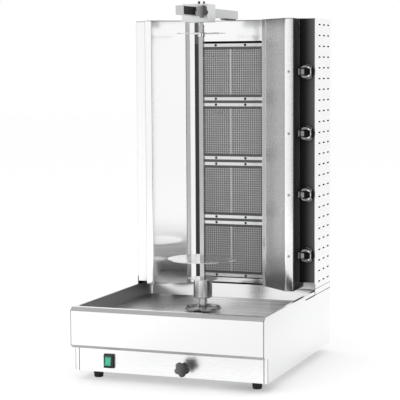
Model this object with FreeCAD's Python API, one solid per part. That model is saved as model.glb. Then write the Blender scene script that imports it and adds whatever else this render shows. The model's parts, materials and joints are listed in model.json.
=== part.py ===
import FreeCAD, Part
import os
from math import cos, hypot, pi, sin

# Gas doner kebab grill: a sheet-steel base with a grease basin, a tower that holds four
# ceramic gas burners between two folded reflector wings, and a driven vertical spit
# that slides towards and away from the burners.
# Millimetres. X to the right, Y to the back, Z up, feet on Z = 0.

V = FreeCAD.Vector

# Overall sizes
body_width = 542.0
body_depth = 626.0
foot_height = 25.0
rim_height = 200.0
tower_height = 968.0
skin = 1.2
seam = 0.4
touch = 0.3
over = 1.0
near = 0.01
shaft_play = 0.05

half_width = body_width / 2
front_y = -body_depth / 2
back_y = body_depth / 2
inside_x = half_width - skin
inside_back = back_y - skin

# Front of the base: a chamfered upper fascia over a set-back control panel
chamfer_run = 11.5
chamfer_rise = 9.4
panel_height = 65.2
fascia_bottom = foot_height + panel_height
fascia_return = 12.0
fascia_shelf = 6.5
panel_setback = 31.0
post_width = 11.0
panel_y = front_y + panel_setback
shelf_y = front_y + chamfer_run + fascia_shelf

# Tower
tower_depth = 161.0
tower_front = back_y - tower_depth
column_width = 47.2
column_inner = inside_x - column_width
column_return = 20.0
column_lift = 6.0
column_bottom = rim_height + column_lift
skirt_lift = 24.5
gas_panel_bottom = rim_height + skirt_lift
tab_side = 12.0
top_seam = 1.0
sheet_top = tower_height - skin - top_seam

# Slots in the tower's sides and back
slot_rows = 25
slot_top_margin = 17.0
slot_top = tower_height - slot_top_margin
slot_bottom_margin = 23.8
slot_bottom = rim_height + slot_bottom_margin
slot_pitch = (slot_top - slot_bottom) / (slot_rows - 1)
slot_length = 19.5
slot_height = 4.0
slot_front_margin = 44.0
slot_first_y = tower_front + slot_front_margin
slot_column_pitch = 45.0
slot_columns = 3
back_slot_rows = 12
back_slot_columns = 5
back_slot_pitch_x = 60.0
back_slot_pitch_z = 40.0
back_slot_margin = 68.0
back_slot_top = tower_height - back_slot_margin

# Side slit and the seam under the tower
slit_drop = 11.0
slit_height = rim_height - slit_drop
slit_width = 1.0
slit_run = 93.0
slit_front = tower_front - slit_run
strip_height = 17.0

# Wings and the burner recess
nose_reach = 51.0
wing_nose = tower_front - nose_reach
nose_width = 21.6
wing_face_x = column_inner - nose_width
face_reach = 56.0
wing_face_y = tower_front - face_reach
wing_inner_depth = 14.0
wing_inner_y = tower_front + wing_inner_depth
recess_half = 109.0
wing_step = 11.0
wing_inner_x = recess_half + wing_step
recess_depth = 58.0
recess_back = tower_front + recess_depth
wing_flange = 16.0
wing_lift = 5.0
wing_bottom = rim_height + wing_lift
hood_height = 60.0
hood_bottom = tower_height - hood_height
lip_lift = 6.0
lip_bottom = rim_height + lip_lift
lip_height = 13.0
lip_top = lip_bottom + lip_height

# Basin
basin_side_gap = 7.8
basin_half = inside_x - basin_side_gap
basin_front_gap = 28.0
basin_front = front_y + basin_front_gap
basin_tuck = 8.0
basin_back = recess_back + basin_tuck
basin_depth = 40.0
basin_floor = rim_height - basin_depth
basin_draft = 6.0
basin_corner = 12.0
basin_lip = 2.5

# Feet
foot_top_radius = 15.0
foot_bottom_radius = 12.0
foot_side_inset = 45.0
foot_x = half_width - foot_side_inset
foot_end_inset = 80.0
foot_y = back_y - foot_end_inset

# Power switch
switch_inset = 99.0
switch_x = switch_inset - half_width
switch_lift = 31.0
switch_z = foot_height + switch_lift
bezel_width = 30.0
bezel_height = 38.0
bezel_depth = 2.5
collar_width = 25.0
collar_height = 35.0
collar_depth = 8.0
rocker_width = 18.0
rocker_height = 26.4
rocker_out = 12.0
rocker_dish = 1.4
rocker_gap = 0.4
rocker_swing = 2.2
rocker_tilt = 7.0
rocker_back = 6.0
rocker_tail = 4.0
rocker_pin = 2.0
pin_engage = 1.6
well_margin = 2.0
switch_body_width = 27.0
switch_body_height = 33.0
switch_body_depth = 24.0
terminal_spread = 8.0
terminal_length = 8.0
terminal_half = 3.0
terminal_wall = 0.8

# Rear fittings
inlet_inset = 24.0
inlet_x = half_width - inlet_inset
inlet_lift = 40.0
inlet_z = rim_height + inlet_lift
inlet_pipe = 8.0
inlet_wall = 2.0
inlet_thread = 10.48
inlet_thread_length = 15.0
inlet_nut = 13.5
inlet_nut_length = 7.0
gland_inset = 81.0
gland_x = gland_inset - half_width
gland_lift = 35.0
gland_z = foot_height + gland_lift
gland_bore = 4.0
gland_barrel = 8.0
gland_nut = 11.0
gland_nut_length = 8.0
gland_dome = 9.0
gland_dome_length = 4.0
gland_tail = 2.0
locknut_length = 5.0

# Spit and its drive
spit_gap = 238.0
spit_y = recess_back - spit_gap
spit_side = 12.0
disc_play = 0.3
drip_radius = 50.5
drip_lift = 4.5
drip_bottom = basin_floor + drip_lift
drip_wall = 2.0
drip_rim = 7.5
drip_rim_width = 4.0
drip_edge = 2.0
drip_slope = 3.0
shaft_radius = 8.0
neck_radius = 11.0
neck_play = 2.0
neck_drop = 21.0
neck_bottom = basin_floor - neck_drop
shaft_drop = 60.0
shaft_bottom = basin_floor - shaft_drop
coupling_radius = 12.0
clamp_screw = 3.2
clamp_screw_length = 6.0
clamp_screw_seat = 2.0
clamp_screw_rise = 7.0
hub_radius = 26.0
hub_lift = 38.0
hub_bottom = basin_floor + hub_lift
hub_height = 50.5
hub_top = hub_bottom + hub_height
hub_chamfer = 1.5
flange_radius = 41.0
flange_wall = 2.5
bar_lift = 10.0
bar_seat = hub_bottom + bar_lift
meat_plate_radius = 97.0
meat_plate_wall = 2.0
meat_plate_lift = 55.5
meat_plate_z = hub_top + meat_plate_lift
top_disc_radius = 67.0
top_disc_wall = 1.5
boss_radius = 10.5
boss_height = 8.0
travel_front = 80.0
travel_back = 18.0

# Carriage under the basin
rod_radius = 6.0
rod_x = 70.0
rod_drop = 42.0
rod_z = basin_floor - rod_drop
rod_overhang = 3.0
bracket_front_run = 165.0
bracket_front = spit_y - bracket_front_run
bracket_back_run = 104.0
bracket_back = spit_y + bracket_back_run
bracket_wall = 3.0
bracket_half = 95.0
bracket_drop = 60.0
bracket_bottom = basin_floor - bracket_drop
bracket_flange = 22.0
plate_half_x = 90.0
plate_half_y = 52.0
plate_wall = 5.0
plate_drop = 28.0
plate_bottom = basin_floor - plate_drop
bush_radius = 10.0
bush_length = 24.0
bush_inset = 4.0
block_half = 13.0
gearbox_half_x = 34.0
gearbox_front = 36.0
gearbox_back = 44.0
gearbox_drop = 76.0
gearbox_bottom = basin_floor - gearbox_drop
gearbox_corner = 4.0
motor_radius = 26.0
motor_lift = 8.0
motor_bottom = foot_height + motor_lift
motor_offset = 8.0
terminal_side = 16.0
terminal_depth = 4.0
terminal_out = 6.0
terminal_rise = 8.0

# Cooling slots in the bottom plate
vent_rows = 2
vent_columns = 6
vent_pitch_x = 30.0
vent_pitch_y = 50.0
vent_offset = 130.0
vent_half_x = 3.0
vent_half_y = 18.0

# Adjusting knob at the front
adjust_x = 48.0
adjust_lift = 30.0
adjust_z = foot_height + adjust_lift
adjust_rod = 5.0
adjust_hole = 6.0
adjust_gap = 20.0
adjust_radius = 20.0
adjust_depth = 16.0
adjust_neck = 6.0
adjust_collar = 8.0
front_collar = 4.0
back_collar = 6.0
collar_play = 0.1
lug_half = 11.0
lug_wall = 4.0
lug_drop = 10.0

# Burners: each has two 92 mm wide ceramic tiles, 132 mm high, behind a wire screen
burner_count = 4
hood_play = 2.55
lip_sink = 1.15
burner_pitch = (hood_bottom - hood_play - lip_top + lip_sink) / burner_count
burner_top_z = hood_bottom - hood_play - burner_pitch / 2
tile_width = 92.0
tile_margin = 39.9
tile_height = burner_pitch - tile_margin
tile_wall = 13.0
tile_play = 0.3
rail_height = 9.5
rail_wall = 2.0
rail_inset = 8.55
rail_offset = burner_pitch / 2 - rail_inset
burner_flange_wall = 1.5
burner_margin = 5.0
tray_step = 1.0
screen_wall = 0.8
screen_border = 2.0
screen_columns = 8
screen_rows = 6
screen_wire = 1.6
tray_depth = 50.0
tray_wall = 1.2
tile_ledge = 5.0
venturi_radius = 12.0
venturi_wall = 1.2
venturi_length = 55.0
venturi_y = 34.0
screw_spacing = 90.0

# Gas valves and knobs
knob_inset = 22.8
knob_x = inside_x - knob_inset
knob_radius = 23.0
knob_depth = 25.5
knob_skirt = 6.0
knob_chamfer = 2.0
knob_dome_low = 20.5
knob_dome_high = 18.0
knob_dome = 8.5
knob_bar_width = 19.0
knob_bar_radius = 20.0
knob_push = 3.5
knob_gap = 1.0
spindle_radius = 4.0
spindle_hole = 6.0
spindle_cap = 4.0
valve_half_x = 11.0
valve_half_z = 12.0
valve_front = 8.0
valve_length = 31.0
boss_bush = 8.0
chamber_radius = 8.5
chamber_front = 10.0
chamber_length = 15.0
plunger_wall = 5.0
plunger_play = 0.3
shoulder_radius = 6.5
shoulder_wall = 2.0
shoulder_gap = 1.0
spindle_tail = 9.0
manifold_side = 18.0
manifold_wall = 2.0
manifold_lift = 25.0
manifold_bottom = rim_height + manifold_lift
manifold_rise = 50.5
manifold_top = burner_top_z + manifold_rise
supply_radius = 4.0
supply_sides = 10
supply_bend = 14.0
supply_drop = 42.0
injector_radius = 7.0
injector_length = 18.0
injector_offset = 4.0
clip_length = 6.0
web_half = 2.5
web_wall = 2.0
web_inset = 0.5
web_offset = 1.0

# Top arm and spit holder
arm_half = 11.5
spacer_height = 3.0
arm_bottom = tower_height + spacer_height
arm_height = 24.0
arm_reach = 162.0
arm_front = spit_y - arm_reach
arm_tail = 35.0
arm_back = recess_back + arm_tail
arm_wall = 2.0
strip_wall = 1.0
strip_margin = 1.5
strip_front = 1.0
strip_back = 10.0
spacer_inset = 8.0
spacer_front = tower_front + spacer_inset
spacer_tail = 17.0
spacer_back = recess_back + spacer_tail
holder_half = 36.5
holder_front = 52.0
holder_back = 12.0
holder_drop = 16.0
holder_height = 48.0
holder_bottom = arm_bottom - holder_drop
holder_top = holder_bottom + holder_height
holder_wall = 3.0
arm_play = 0.3
holder_bush_radius = 9.0
holder_boss_radius = 11.5
boss_gap = 1.0
holder_boss_top = arm_bottom - boss_gap
bush_cover = 0.6
bush_floor = 1.0
journal_gap = 2.0
journal_top = holder_boss_top - journal_gap
journal_drop = 7.0
journal_bottom = holder_bottom - journal_drop
journal_radius = 6.0
top_disc_drop = 23.5
top_disc_z = journal_bottom - top_disc_drop
cap_half_x = 18.0
cap_front = 18.0
cap_back = 10.0
cap_wall = 2.0
cap_bolt_circle = 9.0
cap_bolt_count = 3
cap_bolt_turn = 145.0
cap_bolt_radius = 2.6
cap_bolt_height = 7.0
holder_knob_x = 31.5
holder_knob_lift = 27.0
holder_knob_z = holder_bottom + holder_knob_lift
holder_knob_radius = 17.5
holder_knob_depth = 16.0
holder_knob_neck = 8.0
holder_stud = 3.0
holder_stud_length = 22.0
holder_stud_gap = 14.0

# Lobes of the two hand knobs, as shares of the knob's radius
star_lobes = 5
star_turn = -10.0
star_reach = 1.2
star_cut = 0.45
star_neck = 0.48

# Small fasteners
screw_radius = 3.8
screw_height = 1.5
screw_crown = 0.6
screw_sides = 12
wing_screw_radius = 2.6
back_screw_rows = 4
back_screw_inset = 10.0
back_screw_end = 20.0

burner_heights = [burner_top_z - i * burner_pitch for i in range(burner_count)]
knob_back = tower_front - knob_gap - knob_push
adjust_back = panel_y - adjust_gap
adjust_front = adjust_back - adjust_depth - adjust_neck
inlet_end = back_y + inlet_nut_length + inlet_thread_length
centre_y = (adjust_front + inlet_end) / 2


def box(x0, x1, y0, y1, z0, z1):
    return Part.makeBox(x1 - x0, y1 - y0, z1 - z0, V(x0, y0, z0))


def rod(radius, start, end):
    run = V(*end) - V(*start)
    return Part.makeCylinder(radius, run.Length, V(*start), run)


def bore(radius, x, y0, y1, z):
    """A cut along Y that runs past both faces."""
    return rod(radius, (x, y0 - over, z), (x, y1 + over, z))


def on_axis(radius, z0, z1):
    return rod(radius, (0, spit_y, z0), (0, spit_y, z1))


def tube(outer, inner, start, end):
    return rod(outer, start, end).cut(rod(inner, start, end))


def prism(points, z0, z1):
    """A plan outline raised from z0 to z1."""
    wire = Part.makePolygon([V(x, y, z0) for x, y in points + points[:1]])
    return Part.Face(wire).extrude(V(0, 0, z1 - z0))


def side_prism(points, x0, x1):
    """An outline in Y and Z carried from x0 to x1."""
    wire = Part.makePolygon([V(x0, y, z) for y, z in points + points[:1]])
    return Part.Face(wire).extrude(V(x1 - x0, 0, 0))


def folded(line, wall):
    """Closed outline of a bent sheet whose outer face is the line, its wall on the left."""
    normals = []
    for (ax, ay), (bx, by) in zip(line, line[1:]):
        run = hypot(bx - ax, by - ay)
        normals.append(((ay - by) / run, (bx - ax) / run))
    inner = []
    for i, (px, py) in enumerate(line):
        ax, ay = normals[max(i - 1, 0)]
        bx, by = normals[min(i, len(normals) - 1)]
        reach = wall / (1 + ax * bx + ay * by)
        inner.append((px + reach * (ax + bx), py + reach * (ay + by)))
    return line + inner[::-1]


def joined(first, *others):
    return first.fuse(list(others)).removeSplitter()


def mirrored(shape):
    return shape.mirror(V(0, 0, 0), V(1, 0, 0))


def rounded_wire(x, y0, y1, z, radius):
    """A level rectangle with round corners, symmetric about X = 0."""
    corners = [
        (x - radius, y1 - radius, 0),
        (-x + radius, y1 - radius, 1),
        (-x + radius, y0 + radius, 2),
        (x - radius, y0 + radius, 3),
    ]
    points = []
    for cx, cy, quarter in corners:
        for step in range(3):
            angle = (quarter + step / 2) * pi / 2
            points.append(V(cx + radius * cos(angle), cy + radius * sin(angle), z))
    edges = []
    for i in range(0, len(points), 3):
        edges.append(Part.Arc(*points[i:i + 3]).toShape())
        edges.append(Part.makeLine(points[i + 2], points[(i + 3) % len(points)]))
    return Part.Wire(edges)


def hexagon(across, start, end):
    """A nut that lies along Y."""
    x, y0, z = start
    corner = across / cos(pi / 6)
    points = []
    for i in range(6):
        points.append(V(x + corner * cos(i * pi / 3), y0, z + corner * sin(i * pi / 3)))
    face = Part.Face(Part.makePolygon(points + points[:1]))
    return face.extrude(V(0, end[1] - y0, 0))


def star_knob(radius, depth, neck, x, y_back, z):
    """A lobed hand knob that faces the front, its neck at the back."""
    front = y_back - neck - depth
    body = rod(radius, (x, y_back - neck, z), (x, front, z))
    rim = [edge for edge in body.Edges if abs(edge.BoundBox.YMax - front) < near]
    body = body.makeChamfer(depth / 5, rim)
    for i in range(star_lobes):
        angle = (i + 0.5) * 2 * pi / star_lobes + star_turn * pi / 180
        cx = x + star_reach * radius * cos(angle)
        cz = z + star_reach * radius * sin(angle)
        body = body.cut(rod(star_cut * radius, (cx, y_back, cz), (cx, front - over, cz)))
    return joined(body, rod(star_neck * radius, (x, y_back, z), (x, y_back - neck - over, z)))


def save(name, *solids):
    """Write one node, with the origin under the middle of the whole object."""
    shape = solids[0].copy() if len(solids) == 1 else Part.makeCompound(list(solids))
    shape.translate(V(0, -centre_y, 0))
    shape.exportStep(f"parts/{name}.step")


# Base

def base_side():
    """Right-hand side panel: its nose follows the fascia and it folds in at the front."""
    top_y = front_y + chamfer_run
    outline = [
        (panel_y, foot_height),
        (back_y, foot_height),
        (back_y, slit_height),
        (slit_front, slit_height),
        (slit_front, slit_height + slit_width),
        (tower_front, slit_height + slit_width),
        (tower_front, rim_height),
        (top_y, rim_height),
        (front_y, rim_height - chamfer_rise),
        (front_y, fascia_bottom + chamfer_rise),
        (top_y, fascia_bottom),
        (panel_y, fascia_bottom),
    ]
    panel = side_prism(outline, inside_x, half_width)
    post = box(half_width - post_width, inside_x, panel_y, panel_y + skin, foot_height, fascia_bottom)
    return joined(panel, post)


def front_fascia():
    top_y = front_y + chamfer_run
    line = [
        (shelf_y, rim_height),
        (top_y, rim_height),
        (front_y, rim_height - chamfer_rise),
        (front_y, fascia_bottom + chamfer_rise),
        (top_y, fascia_bottom),
        (panel_y + fascia_return, fascia_bottom),
    ]
    return side_prism(folded(line, skin), -inside_x, inside_x)


def control_panel():
    reach = half_width - post_width - seam
    panel = box(-reach, reach, panel_y, panel_y + skin, foot_height, fascia_bottom)
    cut_x = switch_body_width / 2 + touch
    cut_z = switch_body_height / 2 + touch
    panel = panel.cut(box(switch_x - cut_x, switch_x + cut_x, panel_y - over, panel_y + 2 * skin,
                          switch_z - cut_z, switch_z + cut_z))
    return panel.cut(bore(adjust_hole, adjust_x, panel_y, panel_y + skin, adjust_z))


def base_back():
    panel = box(-inside_x, inside_x, inside_back, back_y, foot_height, rim_height - skin)
    return panel.cut(bore(gland_barrel + touch, gland_x, inside_back, back_y, gland_z))


def bottom_plate():
    plate = box(-inside_x, inside_x, panel_y + skin, inside_back, foot_height, foot_height + skin)
    slots = []
    for row in range(vent_rows):
        for column in range(vent_columns):
            x = (column - (vent_columns - 1) / 2) * vent_pitch_x
            y = spit_y + vent_offset + row * vent_pitch_y
            slots.append(box(x - vent_half_x, x + vent_half_x, y - vent_half_y, y + vent_half_y,
                             foot_height - over, foot_height + 2 * skin))
    return plate.cut(slots)


def basin():
    """A welded tub with drafted walls, hung from a flange that also decks the rear."""
    def tub(grow, top, bottom):
        low = basin_half - basin_draft + grow
        return Part.makeLoft([
            rounded_wire(low, basin_front + basin_draft - grow, basin_back - basin_draft + grow,
                         bottom, basin_corner / 2),
            rounded_wire(basin_half + grow, basin_front - grow, basin_back + grow, top, basin_corner),
        ], True, True)

    deck = box(-inside_x, inside_x, shelf_y, back_y, rim_height - skin, rim_height)
    outer = tub(skin, rim_height, basin_floor - skin)
    inner = tub(0, rim_height + near, basin_floor)
    tub_wall = joined(deck, outer).cut(inner)
    wide = neck_radius + neck_play
    y0 = spit_y - travel_front
    y1 = spit_y + travel_back

    def slot(radius, z0, z1):
        middle = box(-radius, radius, y0, y1, z0, z1)
        ends = [rod(radius, (0, y, z0), (0, y, z1)) for y in (y0, y1)]
        return joined(middle, *ends)

    lip = slot(wide + skin, basin_floor - skin, basin_floor + basin_lip)
    return joined(tub_wall, lip).cut(slot(wide, basin_floor - 2 * skin, basin_floor + basin_lip + over))


def rubber_feet():
    feet = []
    for x in (-foot_x, foot_x):
        for y in (-foot_y, foot_y):
            foot = Part.makeCone(foot_bottom_radius, foot_top_radius, foot_height, V(x, y, 0))
            feet.append(foot)
    return feet


# Power switch

def switch_housing():
    front = panel_y - bezel_depth - collar_depth
    pivot_y = panel_y - bezel_depth

    def slab(width, height, y0, y1):
        return box(switch_x - width / 2, switch_x + width / 2, y0, y1,
                   switch_z - height / 2, switch_z + height / 2)

    bezel = slab(bezel_width, bezel_height, pivot_y, panel_y)
    collar = slab(collar_width, collar_height, front, pivot_y)
    body = slab(switch_body_width, switch_body_height, panel_y, panel_y + switch_body_depth)
    well = slab(rocker_width + 2 * rocker_gap, rocker_height + 2 * rocker_swing,
                front - over, panel_y + rocker_back + well_margin)
    pin = rocker_pin + shaft_play
    reach = rocker_width / 2 + pin_engage + rocker_gap
    bearing = rod(pin, (switch_x - reach, pivot_y, switch_z), (switch_x + reach, pivot_y, switch_z))
    terminals = []
    for side in (-1, 1):
        z = switch_z + side * terminal_spread
        y = panel_y + switch_body_depth
        terminals.append(box(switch_x - terminal_half, switch_x + terminal_half, y, y + terminal_length,
                             z - terminal_wall / 2, z + terminal_wall / 2))
    return joined(bezel, collar, body, *terminals).cut([well, bearing])


def switch_rocker():
    """A dished rocker, tipped to its rest side about its pin."""
    pivot_y = panel_y - bezel_depth
    front = panel_y - rocker_out
    half = rocker_height / 2
    outline = [
        (front, switch_z + half),
        (front + rocker_dish, switch_z),
        (front, switch_z - half),
        (pivot_y, switch_z - half),
        (panel_y + rocker_back, switch_z - rocker_tail),
        (panel_y + rocker_back, switch_z + rocker_tail),
        (pivot_y, switch_z + half),
    ]
    x0 = switch_x - rocker_width / 2
    x1 = switch_x + rocker_width / 2
    cap = side_prism(outline, x0, x1)
    pin = rod(rocker_pin, (x0 - pin_engage, pivot_y, switch_z), (x1 + pin_engage, pivot_y, switch_z))
    rocker = joined(cap, pin)
    rocker.rotate(V(switch_x, pivot_y, switch_z), V(1, 0, 0), -rocker_tilt)
    return rocker


# Rear fittings

def cable_gland():
    x, z = gland_x, gland_z
    nut_end = back_y + gland_nut_length
    end = nut_end + gland_dome_length
    start = inside_back - locknut_length - gland_tail
    nut = hexagon(gland_nut, (x, back_y, z), (x, nut_end, z))
    dome = rod(gland_dome, (x, nut_end, z), (x, end, z))
    barrel = rod(gland_barrel, (x, start, z), (x, back_y, z))
    locknut = hexagon(gland_nut, (x, inside_back - locknut_length, z), (x, inside_back, z))
    return joined(nut, dome, barrel, locknut).cut(bore(gland_bore, x, start, end, z))


def gas_inlet():
    """Pipe from the manifold through the rear panel to a half-inch outside thread."""
    x, z = inlet_x, inlet_z
    start = manifold_front() + manifold_side
    pipe = rod(inlet_pipe, (x, start, z), (x, back_y, z))
    nut = hexagon(inlet_nut, (x, back_y, z), (x, back_y + inlet_nut_length, z))
    thread = rod(inlet_thread, (x, back_y + inlet_nut_length, z), (x, inlet_end, z))
    locknut = hexagon(inlet_nut, (x, inside_back - locknut_length, z), (x, inside_back, z))
    return joined(pipe, nut, thread, locknut).cut(bore(inlet_pipe - inlet_wall, x, start, inlet_end, z))


# Carriage and drive under the basin

def rod_line(x, y0, y1, radius):
    return rod(radius, (x, y0, rod_z), (x, y1, rod_z))


def guide_rods():
    y0 = bracket_front - rod_overhang
    y1 = bracket_back + rod_overhang
    return [rod_line(x, y0, y1, rod_radius) for x in (-rod_x, rod_x)]


def rod_brackets():
    """Two plates under the basin floor, each with a welded top flange."""
    top = basin_floor - skin
    brackets = []
    for y0, flange_y in (
        (bracket_front, bracket_front),
        (bracket_back - bracket_wall, bracket_back - bracket_flange),
    ):
        plate = box(-bracket_half, bracket_half, y0, y0 + bracket_wall, bracket_bottom, top)
        flange = box(-bracket_half, bracket_half, flange_y, flange_y + bracket_flange,
                     top - bracket_wall, top)
        holes = [rod_line(x, y0 - over, y0 + bracket_wall + over, rod_radius) for x in (-rod_x, rod_x)]
        brackets.append(joined(plate, flange).cut(holes))
    return brackets


def bush_places():
    inset = bush_length / 2 + bush_inset
    places = []
    for x in (-rod_x, rod_x):
        for y in (spit_y - plate_half_y + inset, spit_y + plate_half_y - inset):
            places.append((x, y))
    return places


def carriage_plate():
    """A plate that hangs from the guide rods, with a lug for the adjusting rod."""
    y0 = spit_y - plate_half_y
    plate = box(-plate_half_x, plate_half_x, y0, spit_y + plate_half_y,
                plate_bottom, plate_bottom + plate_wall)
    blocks = []
    bores = []
    for x, y in bush_places():
        blocks.append(box(x - block_half, x + block_half, y - bush_length / 2, y + bush_length / 2,
                          rod_z - block_half, plate_bottom))
        bores.append(rod_line(x, y - bush_length, y + bush_length, bush_radius))
    lug = box(adjust_x - lug_half, adjust_x + lug_half, y0, y0 + lug_wall,
              adjust_z - lug_drop, plate_bottom)
    bores.append(bore(adjust_rod + shaft_play, adjust_x, y0, y0 + lug_wall, adjust_z))
    bores.append(on_axis(coupling_radius, plate_bottom - over, plate_bottom + plate_wall + over))
    return joined(plate, lug, *blocks).cut(bores)


def carriage_bushings():
    bushings = []
    for x, y in bush_places():
        outer = rod_line(x, y - bush_length / 2, y + bush_length / 2, bush_radius)
        bushings.append(outer.cut(rod_line(x, y - bush_length, y + bush_length, rod_radius + shaft_play)))
    bushings.append(tube(coupling_radius, shaft_radius + shaft_play,
                         (0, spit_y, plate_bottom), (0, spit_y, plate_bottom + plate_wall)))
    return bushings


def gear_motor():
    """Gearbox under the carriage plate, with the motor can hanging below it."""
    gearbox = box(-gearbox_half_x, gearbox_half_x, spit_y - gearbox_front, spit_y + gearbox_back,
                  gearbox_bottom, plate_bottom)
    corners = [edge for edge in gearbox.Edges if edge.BoundBox.ZLength > 1]
    gearbox = gearbox.makeFillet(gearbox_corner, corners)
    gearbox = gearbox.cut(on_axis(shaft_radius + shaft_play, shaft_bottom - over, plate_bottom + over))
    motor_y = spit_y + motor_offset
    can = rod(motor_radius, (0, motor_y, motor_bottom), (0, motor_y, gearbox_bottom))
    terminal_z = motor_bottom + terminal_rise
    terminal = box(motor_radius - terminal_depth, motor_radius + terminal_out,
                   motor_y - terminal_side / 2, motor_y + terminal_side / 2,
                   terminal_z, terminal_z + terminal_side)
    return [gearbox, joined(can, terminal)]


def adjust_knob():
    """Star knob on the rod that holds and locks the carriage."""
    knob = star_knob(adjust_radius, adjust_depth, adjust_neck, adjust_x, adjust_back, adjust_z)
    lug_front = spit_y - plate_half_y
    lug_back = lug_front + lug_wall

    def run(radius, y0, y1):
        return rod(radius, (adjust_x, y0, adjust_z), (adjust_x, y1, adjust_z))

    shank = run(adjust_rod, adjust_back, lug_back + back_collar)
    collars = [
        run(adjust_collar, lug_front - front_collar, lug_front - collar_play),
        run(adjust_collar, lug_back + collar_play, lug_back + back_collar),
    ]
    return [knob, joined(shank, *collars)]


# Spit

def bar_section(grow, z0, z1):
    half = spit_side / 2 + grow
    return box(-half, half, spit_y - half, spit_y + half, z0, z1)


def drive_shaft():
    """Output shaft with the neck through the basin slot and the coupling with its clamp screw."""
    floor = drip_bottom + drip_wall
    shaft = joined(
        on_axis(shaft_radius, shaft_bottom, floor),
        on_axis(neck_radius, neck_bottom, drip_bottom),
        on_axis(coupling_radius, floor, hub_bottom),
    )
    z = floor + clamp_screw_rise
    seat = clamp_screw_seat - coupling_radius
    screw = rod(clamp_screw, (seat - clamp_screw_length, spit_y, z), (seat, spit_y, z))
    return joined(shaft, screw)


def drip_disc():
    """Dished disc that covers the slot and throws the fat off."""
    outline = [
        (shaft_radius, drip_bottom),
        (drip_radius - drip_edge, drip_bottom),
        (drip_radius, drip_bottom + drip_edge),
        (drip_radius, drip_bottom + drip_rim),
        (drip_radius - drip_rim_width, drip_bottom + drip_rim),
        (drip_radius - drip_rim_width - drip_slope, drip_bottom + drip_wall),
        (shaft_radius, drip_bottom + drip_wall),
    ]
    points = [V(r, spit_y, z) for r, z in outline]
    face = Part.Face(Part.makePolygon(points + points[:1]))
    return face.revolve(V(0, spit_y, 0), V(0, 0, 1), 360)


def spit_hub():
    hub = on_axis(hub_radius, hub_bottom, hub_top)
    bottom = [edge for edge in hub.Edges if abs(edge.BoundBox.ZMax - hub_bottom) < near]
    hub = hub.makeChamfer(hub_chamfer, bottom)
    flange = on_axis(flange_radius, hub_top, hub_top + flange_wall)
    return joined(hub, flange).cut(bar_section(0, bar_seat, hub_top + flange_wall + over))


def spit_bar():
    return joined(bar_section(0, bar_seat, journal_bottom),
                  on_axis(journal_radius, journal_bottom, journal_top))


def spit_plate(radius, wall, z):
    """A round plate with a square hole and a short boss under it, free to slide on the bar."""
    plate = joined(on_axis(radius, z, z + wall), on_axis(boss_radius, z - boss_height, z))
    return plate.cut(bar_section(disc_play, z - boss_height - over, z + wall + over))


# Tower

def tower_skin():
    """Right-hand side: the slotted skin and the foot strip under it, split by a seam."""
    strip_top = slit_height + strip_height
    strip = box(inside_x, half_width, tower_front, back_y, slit_height + seam, strip_top)
    panel = box(inside_x, half_width, tower_front, back_y, strip_top + seam, tower_height)
    slots = []
    for row in range(slot_rows):
        z = slot_top - row * slot_pitch
        for column in range(slot_columns):
            y = slot_first_y + column * slot_column_pitch
            slots.append(box(inside_x - over, half_width + over, y - slot_length / 2, y + slot_length / 2,
                             z - slot_height / 2, z + slot_height / 2))
    return [strip, panel.cut(slots)]


def tower_back():
    panel = box(-inside_x, inside_x, inside_back, back_y, rim_height, tower_height - skin)
    cuts = [bore(inlet_pipe + touch, inlet_x, inside_back, back_y, inlet_z)]
    for row in range(back_slot_rows):
        z = back_slot_top - row * back_slot_pitch_z
        for column in range(back_slot_columns):
            x = (column - (back_slot_columns - 1) / 2) * back_slot_pitch_x
            cuts.append(box(x - slot_length, x + slot_length, inside_back - over, back_y + over,
                            z - slot_height / 2, z + slot_height / 2))
    return panel.cut(cuts)


def tower_top():
    right = [
        (recess_half, recess_back),
        (recess_half, wing_inner_y),
        (wing_inner_x, wing_inner_y),
        (wing_face_x, wing_face_y),
        (column_inner, wing_nose),
        (column_inner, tower_front),
        (inside_x, tower_front),
        (inside_x, back_y),
    ]
    left = [(-x, y) for x, y in right[::-1]]
    return prism(right + left, tower_height - skin, tower_height)


def column_sheet(z0, z1):
    line = [
        (column_inner, tower_front + column_return),
        (column_inner, tower_front),
        (inside_x, tower_front),
    ]
    return prism(folded(line, skin), z0, z1)


def gas_panel():
    """Black knob panel on the right-hand column."""
    panel = column_sheet(gas_panel_bottom, sheet_top)
    holes = []
    for z in burner_heights:
        holes.append(bore(spindle_hole, knob_x, tower_front, tower_front + skin, z))
    return panel.cut(holes)


def column_skirt():
    """Bright skirt under the knob panel, with a square tab at its outer corner."""
    sheet = column_sheet(column_bottom, gas_panel_bottom - seam)
    tab = box(inside_x - tab_side, inside_x, tower_front - skin, tower_front,
              column_bottom, column_bottom + tab_side)
    return joined(sheet, tab)


def wing():
    """Right-hand reflector: one folded sheet from the recess to the column."""
    line = [
        (recess_half + wing_flange, recess_back),
        (recess_half, recess_back),
        (recess_half, wing_inner_y),
        (wing_inner_x, wing_inner_y),
        (wing_face_x, wing_face_y),
        (column_inner, wing_nose),
        (column_inner, tower_front + column_return),
    ]
    return prism(folded(line, skin), wing_bottom, sheet_top)


def recess_panels():
    """Bright panel above the burners and the lip below them."""
    reach = recess_half + wing_flange
    hood = box(-reach, reach, recess_back, recess_back + skin, hood_bottom, sheet_top)
    lip = box(-reach, reach, recess_back, recess_back + skin, lip_bottom, lip_top)
    return [hood, lip]


# Burners

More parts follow.
